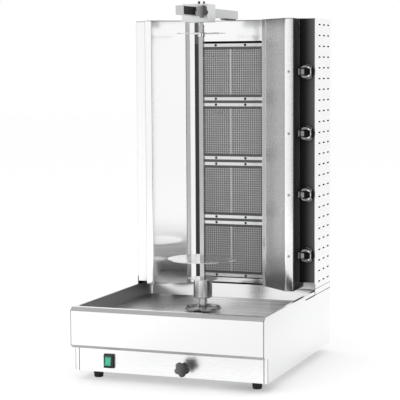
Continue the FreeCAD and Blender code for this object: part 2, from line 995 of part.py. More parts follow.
def burner_housing(z):
    """Pressed tray with a window, two mounting rails and the mixing tube."""
    reach = recess_half + wing_flange
    flange_y = recess_back + rail_wall
    tray_y = flange_y + burner_flange_wall
    half_x = tile_width + burner_margin
    window_x = tile_width
    window_z = tile_height / 2
    rail_low = rail_offset - rail_height / 2
    rail_high = rail_offset + rail_height / 2
    flange = box(-half_x, half_x, flange_y, tray_y, z - rail_high, z + rail_high)
    tray_x = tile_width + burner_margin - tray_step
    tray_z = window_z + burner_margin
    tray = box(-tray_x, tray_x, tray_y, tray_y + tray_depth, z - tray_z, z + tray_z)
    hollow = box(-tray_x + tray_wall, tray_x - tray_wall, tray_y, tray_y + tray_depth - tray_wall,
                 z - tray_z + tray_wall, z + tray_z - tray_wall)
    ledge_y = tray_y + screen_wall + tile_play + tile_wall + tile_play
    ledge = box(-tray_x, tray_x, ledge_y, ledge_y + tray_wall, z - tray_z, z + tray_z)
    opening = box(-window_x + tile_ledge, window_x - tile_ledge, ledge_y - over, ledge_y + 2 * tray_wall,
                  z - window_z + tile_ledge, z + window_z - tile_ledge)
    window = box(-window_x, window_x, flange_y - over, tray_y + over, z - window_z, z + window_z)
    rails = []
    for side in (-1, 1):
        z0 = z + side * rail_offset - rail_height / 2
        rails.append(box(-reach, reach, recess_back, flange_y, z0, z0 + rail_height))
    tube_y = tray_y + venturi_y
    start_x = tray_x - tray_wall
    end_x = tray_x + venturi_length
    inner = venturi_radius - venturi_wall
    mixing_tube = rod(venturi_radius, (start_x, tube_y, z), (end_x, tube_y, z))
    body = joined(flange.cut(window), tray.cut(hollow), ledge.cut(opening), *rails)
    return joined(body, mixing_tube).cut(rod(inner, (start_x - over, tube_y, z), (end_x + over, tube_y, z)))


def ceramic_tiles():
    y0 = recess_back + rail_wall + burner_flange_wall + screen_wall + tile_play
    tiles = []
    for z in burner_heights:
        for side in (0, 1):
            x0 = -tile_width + tile_play + side * tile_width
            tiles.append(box(x0, x0 + tile_width - 2 * tile_play, y0, y0 + tile_wall,
                             z - tile_height / 2, z + tile_height / 2))
    return tiles


def burner_screens():
    """One holed wire screen in front of each pair of tiles."""
    y0 = recess_back + rail_wall + burner_flange_wall
    half_x = tile_width + screen_border
    half_z = tile_height / 2 + screen_border
    pitch_x = 2 * tile_width / screen_columns
    pitch_z = tile_height / screen_rows
    screens = []
    for z in burner_heights:
        sheet = box(-half_x, half_x, y0, y0 + screen_wall, z - half_z, z + half_z)
        gaps = []
        for column in range(screen_columns):
            x = -tile_width + (column + 0.5) * pitch_x
            for row in range(screen_rows):
                middle = z - tile_height / 2 + (row + 0.5) * pitch_z
                gap_x = (pitch_x - screen_wire) / 2
                gap_z = (pitch_z - screen_wire) / 2
                gaps.append(box(x - gap_x, x + gap_x, y0 - over, y0 + 2 * screen_wall,
                                middle - gap_z, middle + gap_z))
        screens.append(sheet.cut(gaps))
    return screens


# Gas train

def manifold_front():
    return tower_front + valve_front + valve_length


def gas_manifold():
    y0 = manifold_front()
    half = manifold_side / 2
    outer = box(knob_x - half, knob_x + half, y0, y0 + manifold_side, manifold_bottom, manifold_top)
    wall = manifold_wall
    inner = box(knob_x - half + wall, knob_x + half - wall, y0 + wall, y0 + manifold_side - wall,
                manifold_bottom + wall, manifold_top - wall)
    return outer.cut(inner)


def gas_valves():
    """Valve bodies between the knob panel and the manifold, each bored for its spindle."""
    valves = []
    back = manifold_front()
    for z in burner_heights:
        body = box(knob_x - valve_half_x, knob_x + valve_half_x, tower_front + valve_front, back,
                   z - valve_half_z, z + valve_half_z)
        nose = rod(boss_bush, (knob_x, tower_front + skin, z), (knob_x, tower_front + valve_front + over, z))
        chamber_y = tower_front + chamber_front
        chamber = rod(chamber_radius, (knob_x, chamber_y, z), (knob_x, chamber_y + chamber_length, z))
        bore_end = chamber_y + chamber_length + spindle_tail
        bore = rod(spindle_radius + shaft_play, (knob_x, tower_front, z), (knob_x, bore_end, z))
        valves.append(joined(body, nose).cut([chamber, bore]))
    return valves


def valve_plunger(z):
    """Ring inside the valve that the spindle shoulder pushes in."""
    y0 = tower_front + chamber_front + shoulder_gap + shoulder_wall
    return tube(chamber_radius - plunger_play, spindle_radius + shaft_play,
                (knob_x, y0, z), (knob_x, y0 + plunger_wall, z))


def gas_knob(z):
    """Skirted knob with a grip bar, and the spindle it turns."""
    front = knob_back - knob_depth
    skirt_y = knob_back - knob_skirt
    skirt = rod(knob_radius, (knob_x, knob_back, z), (knob_x, skirt_y, z))
    rim = [edge for edge in skirt.Edges if abs(edge.BoundBox.YMax - skirt_y) < near]
    skirt = skirt.makeChamfer(knob_chamfer, rim)
    dome = Part.makeCone(knob_dome_low, knob_dome_high, knob_dome, V(knob_x, skirt_y, z), V(0, -1, 0))
    bar = box(knob_x - knob_radius, knob_x + knob_radius, front, skirt_y + over,
              z - knob_bar_width / 2, z + knob_bar_width / 2)
    bar = bar.common(rod(knob_bar_radius, (knob_x, front, z), (knob_x, skirt_y + over, z)))
    spindle_front = front + spindle_cap
    shoulder_y = tower_front + chamber_front + shoulder_gap
    tail = tower_front + chamber_front + chamber_length + spindle_tail - knob_push - shoulder_gap
    spindle = joined(
        rod(spindle_radius, (knob_x, spindle_front, z), (knob_x, tail, z)),
        rod(shoulder_radius, (knob_x, shoulder_y, z), (knob_x, shoulder_y + shoulder_wall, z)),
    )
    hole = rod(spindle_radius, (knob_x, spindle_front, z), (knob_x, knob_back + over, z))
    return [joined(skirt, dome, bar).cut(hole), spindle]


def supply_tubes():
    """Bent tube from each valve to the injector in the mixing tube of its burner."""
    start_x = knob_x - valve_half_x
    start_y = manifold_front() - valve_half_x
    end_y = recess_back + rail_wall + burner_flange_wall + venturi_y
    injector_x = tile_width + burner_margin - tray_step + venturi_length
    turn = supply_bend
    drop_x = knob_x - supply_drop
    tubes = []
    for z in burner_heights:
        path = Part.makePolygon([
            V(start_x, start_y, z),
            V(drop_x + turn, start_y, z),
            V(drop_x, start_y + turn, z),
            V(drop_x, end_y - turn, z),
            V(drop_x - turn, end_y, z),
            V(injector_x + injector_offset, end_y, z),
        ])
        points = []
        for i in range(supply_sides):
            angle = i * 2 * pi / supply_sides
            points.append(V(start_x, start_y + supply_radius * cos(angle), z + supply_radius * sin(angle)))
        pipe = path.makePipeShell([Part.makePolygon(points + points[:1])], True, False, 1)

        middle = injector_x + injector_offset
        injector = rod(injector_radius, (middle - injector_length / 2, end_y, z),
                       (middle + injector_length / 2, end_y, z))
        clip = tube(venturi_radius, venturi_radius - venturi_wall,
                    (injector_x, end_y, z), (injector_x + clip_length, end_y, z))
        web_x = injector_x + web_offset
        web_reach = venturi_radius - web_inset
        web = box(web_x, web_x + web_wall, end_y - web_reach, end_y + web_reach, z - web_half, z + web_half)
        tubes.append(joined(pipe, injector, clip, web))
    return tubes


# Top arm and spit holder

def top_arm():
    """Closed square tube that carries the spit holder out over the basin."""
    top = arm_bottom + arm_height
    outer = box(-arm_half, arm_half, arm_front, arm_back, arm_bottom, top)
    inner = box(-arm_half + arm_wall, arm_half - arm_wall, arm_front + arm_wall, arm_back - arm_wall,
                arm_bottom + arm_wall, top - arm_wall)
    return outer.cut(inner)


def slide_strip():
    """Black wear strip on the arm's right-hand side, for the holder to run on."""
    return box(arm_half, arm_half + strip_wall, arm_front + strip_front, spit_y - strip_back,
               arm_bottom + strip_margin, arm_bottom + arm_height - strip_margin)


def holder_block():
    """Box that slides along the arm and holds the spit's upper end."""
    y0 = spit_y - holder_front
    y1 = spit_y + holder_back
    wall = holder_wall
    shell = box(-holder_half, holder_half, y0, y1, holder_bottom, holder_top)
    hollow = box(-holder_half + wall, holder_half - wall, y0 + wall, y1 - wall,
                 holder_bottom + wall, holder_top - wall)
    boss = on_axis(holder_boss_radius, holder_bottom + wall, holder_boss_top)
    passage = box(-arm_half - arm_play, arm_half + strip_wall + arm_play, y0 - over, y1 + over,
                  arm_bottom - arm_play, arm_bottom + arm_height + arm_play)
    seat = on_axis(holder_bush_radius, holder_bottom - over, holder_boss_top - bush_cover)
    stud = rod(holder_stud + shaft_play, (holder_knob_x, y0 - over, holder_knob_z),
               (holder_knob_x, y0 + holder_stud_length, holder_knob_z))
    boss = boss.common(box(-holder_half, holder_half, y0, y1, holder_bottom, holder_top))
    return joined(shell.cut(hollow), boss).cut([passage, seat, stud])


def holder_bush():
    outer = on_axis(holder_bush_radius, holder_bottom, holder_boss_top - bush_cover)
    blind_end = holder_boss_top - bush_cover - bush_floor
    return outer.cut(on_axis(journal_radius + shaft_play, holder_bottom - over, blind_end))


def holder_cap():
    """Plate on top of the holder with three bolt heads."""
    plate = box(-cap_half_x, cap_half_x, spit_y - cap_front, spit_y + cap_back,
                holder_top, holder_top + cap_wall)
    bolts = []
    for i in range(cap_bolt_count):
        angle = cap_bolt_turn * pi / 180 + i * 2 * pi / cap_bolt_count
        x = cap_bolt_circle * cos(angle)
        y = spit_y - (cap_front - cap_back) / 2 + cap_bolt_circle * sin(angle)
        z = holder_top + cap_wall
        bolts.append(rod(cap_bolt_radius, (x, y, z), (x, y, z + cap_bolt_height)))
    return [plate] + bolts


def holder_knob():
    start = spit_y - holder_front - holder_stud_gap
    knob = star_knob(holder_knob_radius, holder_knob_depth, holder_knob_neck,
                     holder_knob_x, start, holder_knob_z)
    stud = rod(holder_stud, (holder_knob_x, start, holder_knob_z),
               (holder_knob_x, start + holder_stud_length, holder_knob_z))
    return [knob, stud]


# Screws

def screw_head(radius, at, out):
    """A low tapered head that stands on a face."""
    turn = FreeCAD.Rotation(V(0, 0, 1), V(*out))
    rings = []
    for share, height in ((1, 0), (screw_crown, screw_height)):
        points = []
        for i in range(screw_sides):
            angle = i * 2 * pi / screw_sides
            corner = V(share * radius * cos(angle), share * radius * sin(angle), height)
            points.append(V(*at) + turn.multVec(corner))
        rings.append(Part.makePolygon(points + points[:1]))
    return Part.makeLoft(rings, True, True)


def panel_screws():
    heads = []
    for z in burner_heights:
        for side in (-1, 1):
            for x in (-screw_spacing / 2, screw_spacing / 2):
                heads.append(screw_head(screw_radius, (x, recess_back, z + side * rail_offset), (0, -1, 0)))
        middle = ((column_inner + wing_face_x) / 2, (wing_nose + wing_face_y) / 2, z)
        out = (wing_nose - wing_face_y, wing_face_x - column_inner, 0)
        heads.append(screw_head(wing_screw_radius, middle, out))
    run = tower_height - rim_height - 2 * back_screw_end
    for row in range(back_screw_rows):
        z = rim_height + back_screw_end + row * run / (back_screw_rows - 1)
        for x in (back_screw_inset - inside_x, inside_x - back_screw_inset):
            heads.append(screw_head(screw_radius, (x, back_y, z), (0, 1, 0)))
    return heads


def main():
    os.makedirs("parts", exist_ok=True)
    save("base_side_right", base_side())
    save("base_side_left", mirrored(base_side()))
    save("front_fascia", front_fascia())
    save("control_panel", control_panel())
    save("base_back", base_back())
    save("bottom_plate", bottom_plate())
    save("basin", basin())
    save("rubber_feet", *rubber_feet())
    save("switch_housing", switch_housing())
    save("switch_rocker", switch_rocker())
    save("cable_gland", cable_gland())
    save("gas_inlet", gas_inlet())
    save("guide_rods", *guide_rods())
    save("rod_brackets", *rod_brackets())
    save("carriage_plate", carriage_plate())
    save("carriage_bushings", *carriage_bushings())
    save("gear_motor", *gear_motor())
    save("adjust_knob", *adjust_knob())
    save("drive_shaft", drive_shaft())
    save("drip_disc", drip_disc())
    save("spit_hub", spit_hub())
    save("spit_bar", spit_bar())
    save("meat_plate", spit_plate(meat_plate_radius, meat_plate_wall, meat_plate_z))
    save("top_disc", spit_plate(top_disc_radius, top_disc_wall, top_disc_z))
    save("tower_skin_right", *tower_skin())
    save("tower_skin_left", *[mirrored(solid) for solid in tower_skin()])
    save("tower_back", tower_back())
    save("tower_top", tower_top())
    save("column_left", mirrored(column_sheet(column_bottom, sheet_top)))
    save("gas_panel", gas_panel())
    save("column_skirt", column_skirt())
    save("wing_right", wing())
    save("wing_left", mirrored(wing()))
    save("recess_panels", *recess_panels())
    save("ceramic_tiles", *ceramic_tiles())
    save("burner_screens", *burner_screens())
    save("gas_manifold", gas_manifold())
    save("gas_valves", *gas_valves())
    save("supply_tubes", *supply_tubes())
    for i, z in enumerate(burner_heights):
        save(f"burner_housing_{i + 1}", burner_housing(z))
        save(f"valve_plunger_{i + 1}", valve_plunger(z))
        save(f"gas_knob_{i + 1}", *gas_knob(z))
    save("top_arm", top_arm())
    save("slide_strip", slide_strip())
    save("arm_spacer", box(-arm_half, arm_half, spacer_front, spacer_back, tower_height, arm_bottom))
    save("holder_block", holder_block())
    save("holder_bush", holder_bush())
    save("holder_cap", *holder_cap())
    save("holder_knob", *holder_knob())
    save("panel_screws", *panel_screws())


if __name__ == "__main__":
    main()
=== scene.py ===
import json
from math import atan2, copysign, cos, pi, radians, sin

import bpy
from mathutils import Euler, Matrix, Vector

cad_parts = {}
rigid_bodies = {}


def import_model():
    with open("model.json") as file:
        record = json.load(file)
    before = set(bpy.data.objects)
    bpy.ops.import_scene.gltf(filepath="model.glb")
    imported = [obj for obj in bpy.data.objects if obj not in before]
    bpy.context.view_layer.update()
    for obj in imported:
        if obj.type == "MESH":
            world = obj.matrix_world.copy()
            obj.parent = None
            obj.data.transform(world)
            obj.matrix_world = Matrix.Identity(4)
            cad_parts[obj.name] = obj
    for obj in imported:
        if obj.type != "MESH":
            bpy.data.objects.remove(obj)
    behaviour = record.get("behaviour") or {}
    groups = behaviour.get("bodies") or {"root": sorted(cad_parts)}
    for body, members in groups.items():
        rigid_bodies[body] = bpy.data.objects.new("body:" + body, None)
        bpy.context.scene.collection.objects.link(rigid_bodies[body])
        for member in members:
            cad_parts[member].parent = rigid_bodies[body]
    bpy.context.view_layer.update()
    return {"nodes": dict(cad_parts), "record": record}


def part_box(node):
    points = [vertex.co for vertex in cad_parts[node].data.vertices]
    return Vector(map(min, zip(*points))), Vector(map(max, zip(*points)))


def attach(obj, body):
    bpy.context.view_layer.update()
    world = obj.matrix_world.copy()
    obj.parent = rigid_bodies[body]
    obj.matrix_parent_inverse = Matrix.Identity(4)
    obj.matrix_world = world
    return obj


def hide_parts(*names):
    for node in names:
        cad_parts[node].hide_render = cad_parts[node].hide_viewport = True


bl_info = {
    "name": "Gas Doner Kebab Grill",
    "version": (1, 0, 0),
    "blender": (4, 5, 0),
    "location": "3D View > Sidebar > Grill",
    "description": "Builds the visible pieces and finishes of a gas doner kebab grill",
    "category": "Object",
}

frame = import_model()
burners = range(1, 5)
both_sides = ((-1, "left"), (1, "right"))
mm = 0.001


# Sizes and colours a user would change

def length_property(name, description, size, **limits):
    return bpy.props.FloatProperty(
        name=name, description=description, default=size * mm, unit="LENGTH", **limits)


def colour_property(name, description, *shade):
    return bpy.props.FloatVectorProperty(
        name=name, description=description, subtype="COLOR", default=shade)


class GrillSizes(bpy.types.PropertyGroup):
    edge_radius: length_property("Edge radius", "Rounding on bent and cut sheet edges", 0.35,
                                 min=0.1 * mm, max=0.6 * mm)
    knob_depth: length_property("Gas knob depth", "Gas knob from its skirt to the front of its grip", 25.5)
    knob_skirt: length_property("Gas knob skirt", "Thickness of the gas knob's round skirt", 6)
    grip_width: length_property("Gas knob grip", "Width of the bar across the gas knob", 19)
    wire_pitch: length_property(
        "Wire pitch", "Distance between neighbouring wires of the burner screens", 6.6)
    wire_gauge: length_property("Wire gauge", "Thickness of one screen wire", 1.5)
    hole_pitch: length_property("Tile hole pitch", "Distance between the burner tiles' gas holes", 3.3)
    hole_radius: length_property("Tile hole radius", "Radius of a gas hole in the burner tiles", 0.85)
    star_lobes: bpy.props.IntProperty(
        name="Star knob lobes", description="Number of lobes on the two hand knobs", default=5)
    camera_lens: bpy.props.FloatProperty(
        name="Camera lens", description="Focal length in millimetres", default=128.948)
    camera_place: bpy.props.FloatVectorProperty(
        name="Camera place", description="Where the camera stands", subtype="XYZ", unit="LENGTH",
        default=(1.37798, -3.72312, 0.82864))
    camera_turn: bpy.props.FloatVectorProperty(
        name="Camera turn", description="Tilt below the horizon, turn to the left and roll",
        subtype="EULER", default=(0.091189, 0.359105, -0.006087))


class GrillColours(bpy.types.PropertyGroup):
    sheet: colour_property("Outer sheet", "Brushed stainless of the outer panels", 0.962, 0.964, 0.966)
    rail: colour_property("Burner rails", "Bright stainless of the burner rails", 0.72, 0.725, 0.73)
    polished: colour_property("Polished steel", "Polished steel of the rods", 0.70, 0.705, 0.71)
    zinc: colour_property("Zinc", "Galvanised inner parts", 0.55, 0.57, 0.59)
    enamel: colour_property("Enamel", "Gloss black knob panel", 0.012, 0.012, 0.012)
    moulding: colour_property("Moulding", "Black moulded plastic", 0.022, 0.022, 0.023)
    lens: colour_property("Switch lens", "Green lens of the power switch", 0.04, 0.46, 0.27)
    # The tile colour is kept dark as painted shade for the tiles lying in shade behind the screens.
    ceramic: colour_property("Ceramic", "Burner tiles", 0.28, 0.275, 0.27)
    wire: colour_property("Screen wire", "Heat-proof wire of the burner screens", 0.80, 0.80, 0.80)
    brass: colour_property("Brass", "Gas valves and inlet", 0.62, 0.44, 0.18)
    floor: colour_property("Floor", "Floor of the stage", 0.985, 0.985, 0.985)


def sizes():
    return bpy.context.scene.grill_sizes


def colours():
    return bpy.context.scene.grill_colours


def middle(node):
    low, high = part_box(node)
    return (low + high) / 2


# Shader expressions

def socket_of(sockets, key):
    """A node's socket by its number, identifier or name."""
    if isinstance(key, int):
        return sockets[key]
    for socket in sockets:
        if socket.identifier == key:
            return socket
    return sockets[key]


class Value:
    """A number that changes over a surface, for use in Python expressions."""

    def __init__(self, finish, socket):
        self.finish = finish
        self.socket = socket

    def maths(self, operation, first, second=0.0):
        return self.finish.node("ShaderNodeMath", {"operation": operation}, {0: first, 1: second})

    def __add__(self, other):
        return self.maths("ADD", self, other)

    def __sub__(self, other):
        return self.maths("SUBTRACT", self, other)

    def __rsub__(self, other):
        return self.maths("SUBTRACT", other, self)

    def __mul__(self, other):
        return self.maths("MULTIPLY", self, other)

    __radd__ = __add__
    __rmul__ = __mul__


class Finish:
    """One procedural material, built from expressions on its nodes."""

    def __init__(self, name, **settings):
        self.material = bpy.data.materials.new(name)
        self.material.use_nodes = True
        self.tree = self.material.node_tree
        self.shader = self.tree.nodes["Principled BSDF"]
        self.place = self.node("ShaderNodeTexCoord", out="Object")
        for key, value in settings.items():
            self.put(self.shader, key.replace("_", " ").title().replace("Ior", "IOR"), value)

    def put(self, node, key, value):
        socket = socket_of(node.inputs, key)
        if isinstance(value, Value):
            self.tree.links.new(value.socket, socket)
        elif hasattr(value, "__len__") and len(value) == 3 and socket.type == "RGBA":
            socket.default_value = (*value, 1)
        else:
            socket.default_value = value

    def node(self, kind, settings=None, inputs=None, out=0):
        """Adds a node, its settings first, and returns one of its outputs."""
        node = self.tree.nodes.new(kind)
        for key, value in (settings or {}).items():
            setattr(node, key, value)
        for key, value in (inputs or {}).items():
            self.put(node, key, value)
        return Value(self, socket_of(node.outputs, out))

    def mapped(self, location, scale):
        """The points of the surface, scaled and then moved."""
        return self.node("ShaderNodeMapping", None, {
            "Vector": self.place, "Location": location, "Scale": scale})

    def along(self, axis, vector=None):
        """One axis of a vector, or of the points of the surface."""
        return self.node("ShaderNodeSeparateXYZ", None, {"Vector": vector or self.place}, out=axis)

    def ramp(self, value, first, last, shape="LINEAR"):
        """From 0 to 1 while a value goes from the first to the last."""
        return self.node("ShaderNodeMapRange", {"interpolation_type": shape}, {
            "Value": value, "From Min": first, "From Max": last})

    def noise(self, scale, detail=2.0, roughness=0.5):
        """Noise from 0 to 1, with so many marks to a metre on every axis, or on each of three."""
        scale = scale if isinstance(scale, tuple) else (scale,) * 3
        return self.node("ShaderNodeTexNoise", None, {
            "Vector": self.mapped((0, 0, 0), scale), "Scale": 1.0, "Detail": detail, "Roughness": roughness})

    def blended(self, factor, first, second):
        return self.node("ShaderNodeMix", {"data_type": "RGBA"}, {
            "Factor_Float": factor, "A_Color": first, "B_Color": second}, out="Result_Color")

    def relief(self, height, strength, distance):
        bump = self.node("ShaderNodeBump", None, {
            "Height": height, "Strength": strength, "Distance": distance})
        self.put(self.shader, "Normal", bump)

    def rough(self, value):
        self.put(self.shader, "Roughness", value)

    def varied_colour(self, base, dark, factor):
        """Colour between two shades of the base: a little random tone in most finishes, and painted shade
        where a ramp or rim mask drives it.
        """
        shade = tuple(c * dark for c in base)
        self.put(self.shader, "Base Color", self.blended(factor, shade, base))


def brushed(name, colour, grain, rough, depth=0.05, dark=0.93, metal=1.0):
    """Brushed stainless: fine streaks, and broad cloudy patches from handling."""
    finish = Finish(name, metallic=metal)
    streaks = finish.noise(grain, 3.0, 0.6)
    cloud = finish.noise(5)
    finish.varied_colour(colour, dark, streaks * 0.6 + cloud * 0.4)
    finish.rough(rough + streaks * 0.10 + cloud * 0.05 - 0.07)
    finish.relief(streaks, depth, 0.0002)
    return finish.material


def painted_shade_along_x(name, colour, grain, rough, dark, ends, metal=1.0, depth=0.04):
    """A brushed surface with painted shade along X: darkest where X is at the first of the ends and full
    colour at the last.
    """
    finish = Finish(name, metallic=metal)
    streaks = finish.noise(grain, 3.0, 0.6)
    across = finish.ramp(finish.along("X"), *ends)
    finish.varied_colour(colour, dark, across * 0.9 + streaks * 0.1)
    finish.rough(rough + streaks * 0.1 - across * 0.05)
    finish.relief(streaks, depth, 0.0002)
    return finish.material


def turned_steel(name, colour, centre, rough):
    """Turned stainless, with fine rings round a centre line that draw its reflections out along it."""
    finish = Finish(name, metallic=1.0, anisotropic=0.92, anisotropic_rotation=0.25)
    offset = finish.mapped((-centre[0], -centre[1], 0), (1, 1, 0))
    reach = finish.node("ShaderNodeVectorMath", {"operation": "LENGTH"}, {0: offset}, out="Value")
    rings = finish.node("ShaderNodeTexNoise", {"noise_dimensions": "1D"}, {
        "W": (reach + finish.along("Z")) * 900.0, "Scale": 1.0, "Detail": 2.0})
    smudge = finish.noise(18)
    finish.varied_colour(colour, 0.9, rings * 0.5 + smudge * 0.5)
    finish.rough(rough + rings * 0.05 + smudge * 0.05 - 0.05)
    return finish.material


def galvanised(name, colour):
    finish = Finish(name, metallic=1.0)
    spangle = finish.node("ShaderNodeTexVoronoi", None, {"Vector": finish.place, "Scale": 110.0}, out="Color")
    grey = finish.node("ShaderNodeRGBToBW", None, {"Color": spangle})
    finish.varied_colour(colour, 0.8, grey)
    finish.rough(0.42 + grey * 0.16)
    return finish.material


def moulded(name, colour, rough, grain=2500.0, depth=0.08, shine=0.5):
    """Plastic, rubber or paint with a fine moulded grain."""
    finish = Finish(name, specular_ior_level=shine)
    fine = finish.noise(grain)
    broad = finish.noise(24)
    finish.varied_colour(colour, 0.75, broad)
    finish.rough(rough + broad * 0.10 - 0.05)
    finish.relief(fine, depth, 0.0001)
    return finish.material


def enamelled(name, colour):
    """Black enamel with the slight waviness of a sprayed panel, and a painted sheen that makes it greyer
    towards the outer edge.
    """
    finish = Finish(name, specular_ior_level=0.12)
    wave = finish.noise(90)
    low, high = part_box("gas_panel")
    # Painted sheen: the panel turns greyer across it towards the outer edge.
    across = finish.ramp(finish.along("X"), low.x + 15.4 * mm, high.x, "SMOOTHSTEP")
    shade = finish.blended(across, tuple(c * 0.6 for c in colour), tuple(c * 7 for c in colour))
    finish.put(finish.shader, "Base Color", shade)
    finish.rough(0.26 + wave * 0.06)
    finish.relief(wave, 0.06, 0.0004)
    return finish.material


def lit_lens(name, colour):
    """Green plastic with painted shade along the rim of the rocker, so that it is brighter in the middle."""
    finish = Finish(name, coat_weight=0.3, coat_roughness=0.15)
    low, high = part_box("switch_rocker")
    half, centre = (high - low) / 2, (high + low) / 2
    local = finish.mapped([-c / h for c, h in zip(centre, half)], [1 / h for h in half])
    local = finish.node("ShaderNodeVectorMath", {"operation": "ABSOLUTE"}, {0: local})
    x, z = finish.along("X", local), finish.along("Z", local)
    # Painted shade towards the rim.
    rim = finish.ramp(x.maths("MAXIMUM", x, z), 0.5, 0.95, "SMOOTHSTEP")
    finish.varied_colour(colour, 0.3, 1.0 - rim)
    finish.rough(0.26 + rim * 0.1)
    return finish.material


def fired_clay(name, colour):
    """Burner ceramic: chalky, warmer where the flames have been."""
    finish = Finish(name)
    speckle = finish.noise(900)
    scorch = finish.noise(30)
    finish.varied_colour(colour, 0.72, speckle * 0.4 + scorch * 0.6)
    finish.rough(0.85 + speckle * 0.1)
    finish.relief(speckle, 0.2, 0.0003)
    return finish.material


def plain_metal(name, colour, rough, grain=400.0, metal=1.0):
    """Cast or machined metal with fine tool marks."""
    finish = Finish(name, metallic=metal)
    marks = finish.noise(grain, 3.0)
    patch = finish.noise(30)
    finish.varied_colour(colour, 0.8, marks * 0.4 + patch * 0.6)
    finish.rough(rough + marks * 0.12 - 0.06)
    finish.relief(marks, 0.08, 0.0002)
    return finish.material


def star_painted_light(node, colour, dark):
    """Black moulding with painted light: lighter on its left, in painted shade towards its right."""
    low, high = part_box(node)
    return painted_shade_along_x(node + "_moulding", colour, 900, 0.42, dark,
                   (high.x - 8 * mm, low.x + 2 * mm), 0.0, 0.03)


finishes = {}


def make_finishes():
    """All the finishes of the grill, each under its own name."""
    c = colours()
    spit = middle("drip_disc").xy
    level, lengthways = (3, 3, 420), (3, 420, 420)
    basin_low, (wing_low, wing_high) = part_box("basin")[0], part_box("wing_right")
    finishes.update({
        "sheet": brushed("brushed_outer_sheet", c.sheet, level, 0.32, 0.02, 0.955),
        "front_sheet": brushed("control_panel_sheet", c.sheet, level, 0.26, 0.01, 0.955),
        "shade": brushed("shaded_chamfer", (0.42, 0.42, 0.425), level, 0.45, 0.02, 0.93, 0.2),
        "reflector": brushed("bright_reflector", c.sheet, level, 0.11, 0.0, 0.96),
        # Painted shade: the right wing darkens towards its outer side, standing in for the dark reflections it
        # shows.
        "right_reflector": painted_shade_along_x("dulled_right_reflector", c.sheet, level, 0.2, 0.5,
                                   (wing_high.x - 22 * mm, wing_low.x), 1.0, 0.0),
        "lit_wall": brushed("bright_recess_wall", c.sheet, level, 0.10, 0.0, 0.97),
        # Painted shade on the wings' front step.
        "step": brushed("dulled_step", (0.47, 0.47, 0.475), level, 0.16, 0.0),
        "rail": brushed("burner_rails", c.rail, level, 0.24, 0.03),
        "basin": brushed("basin_sheet", (0.90, 0.90, 0.905), lengthways, 0.16, 0.02),
        # Painted shade: the basin floor darkens towards its left, standing in for dark reflections.
        "basin_floor": painted_shade_along_x("stained_basin_floor", (0.92, 0.92, 0.925), lengthways, 0.26, 0.32,
                               (basin_low.x + 40 * mm, -80 * mm), 0.6),
        # Painted shade on the basin's left inner wall.
        "basin_shade": plain_metal("stained_basin_wall", (0.42, 0.42, 0.425), 0.3, metal=0.7),
        # Near black: painted shade on faces inside the sheets and recesses, and the dark joints of the seams.
        "inside": plain_metal("dulled_inside", (0.04, 0.04, 0.04), 0.6, metal=0.5),
        # Dark grey: painted shade in the gaps of the housings and recess, and a painted highlight beside the
        # black gas panel.
        "gap": plain_metal("dulled_gap", (0.13, 0.13, 0.13), 0.6, metal=0.5),
        # Painted highlight on the gas panel's fold and on the left end of the gas knobs' grips.
        "edge": plain_metal("lit_panel_edge", (0.30, 0.30, 0.30), 0.5, metal=0.0),
        # Painted shade for the front face of the spit bar.
        "bar": plain_metal("bar_steel", (0.52, 0.525, 0.53), 0.14, 700.0),
        "arm": brushed("arm_steel", (0.60, 0.605, 0.61), level, 0.34),
        "turned": turned_steel("turned_spit_steel", (0.86, 0.86, 0.865), spit, 0.15),
        "disc": turned_steel("turned_disc_steel", (0.42, 0.42, 0.425), spit, 0.2),
        "slide": moulded("black_slide", (0.02, 0.02, 0.02), 0.5, shine=0.2),
        "polished": plain_metal("polished_bar", c.polished, 0.18, 700.0),
        "zinc": galvanised("galvanised_sheet", c.zinc),
        "enamel": enamelled("black_enamel", c.enamel),
        "satin": moulded("satin_black_moulding", c.moulding, 0.48),
        "gloss": plain_metal("black_chrome", (0.27, 0.27, 0.275), 0.16, 900.0),
        # Painted highlight: a bright ring on the gas knobs' skirts.
        "bright_chrome": plain_metal("bright_chrome", (0.95, 0.95, 0.95), 0.3, 900.0, 0.6),
        # Painted shade for the dark right side of the gas knobs.
        "jet": moulded("jet_black_pointer", (0.006, 0.006, 0.006), 0.4, shine=0.05),
        # Star knob faces with painted light and shade across them.
        "adjust_face": star_painted_light("adjust_knob", (0.13, 0.13, 0.135), 0.06),
        "holder_face": star_painted_light("holder_knob", (0.42, 0.42, 0.425), 0.06),
        "rubber": moulded("foot_rubber", c.moulding, 0.72, 1800.0, 0.15),
        "lens": lit_lens("green_switch_lens", c.lens),
        "ceramic": fired_clay("burner_ceramic", c.ceramic),
        "wire": plain_metal("screen_wire", c.wire, 0.42, 1200.0, 0.8),
        "brass": plain_metal("machined_brass", c.brass, 0.28),
        "bronze": plain_metal("bush_bronze", (0.42, 0.27, 0.12), 0.4),
        "casting": plain_metal("gearbox_casting", (0.10, 0.11, 0.12), 0.5, 500.0, 0.4),
        "alloy": brushed("satin_alloy", (0.74, 0.745, 0.75), 400, 0.32, 0.04),
        "screw": plain_metal("screw_steel", (0.55, 0.55, 0.56), 0.28, 900.0),
        "dark_screw": plain_metal("blackened_screw_steel", (0.05, 0.05, 0.05), 0.4, 900.0),
    })


# Modelling helpers

def rest():
    """Object mode, with nothing selected."""
    if bpy.context.object and bpy.context.object.mode != "OBJECT":
        bpy.ops.object.mode_set(mode="OBJECT")
    for other in bpy.context.selected_objects:
        other.select_set(False)


def pick(piece):
    rest()
    piece.select_set(True)
    bpy.context.view_layer.objects.active = piece


def named(name):
    """Names the piece just added and puts its place, turn and scale into its mesh."""
    piece = bpy.context.object
    piece.name = name
    piece.data.name = name
    bpy.ops.object.transform_apply(location=True, rotation=True, scale=True)
    return piece


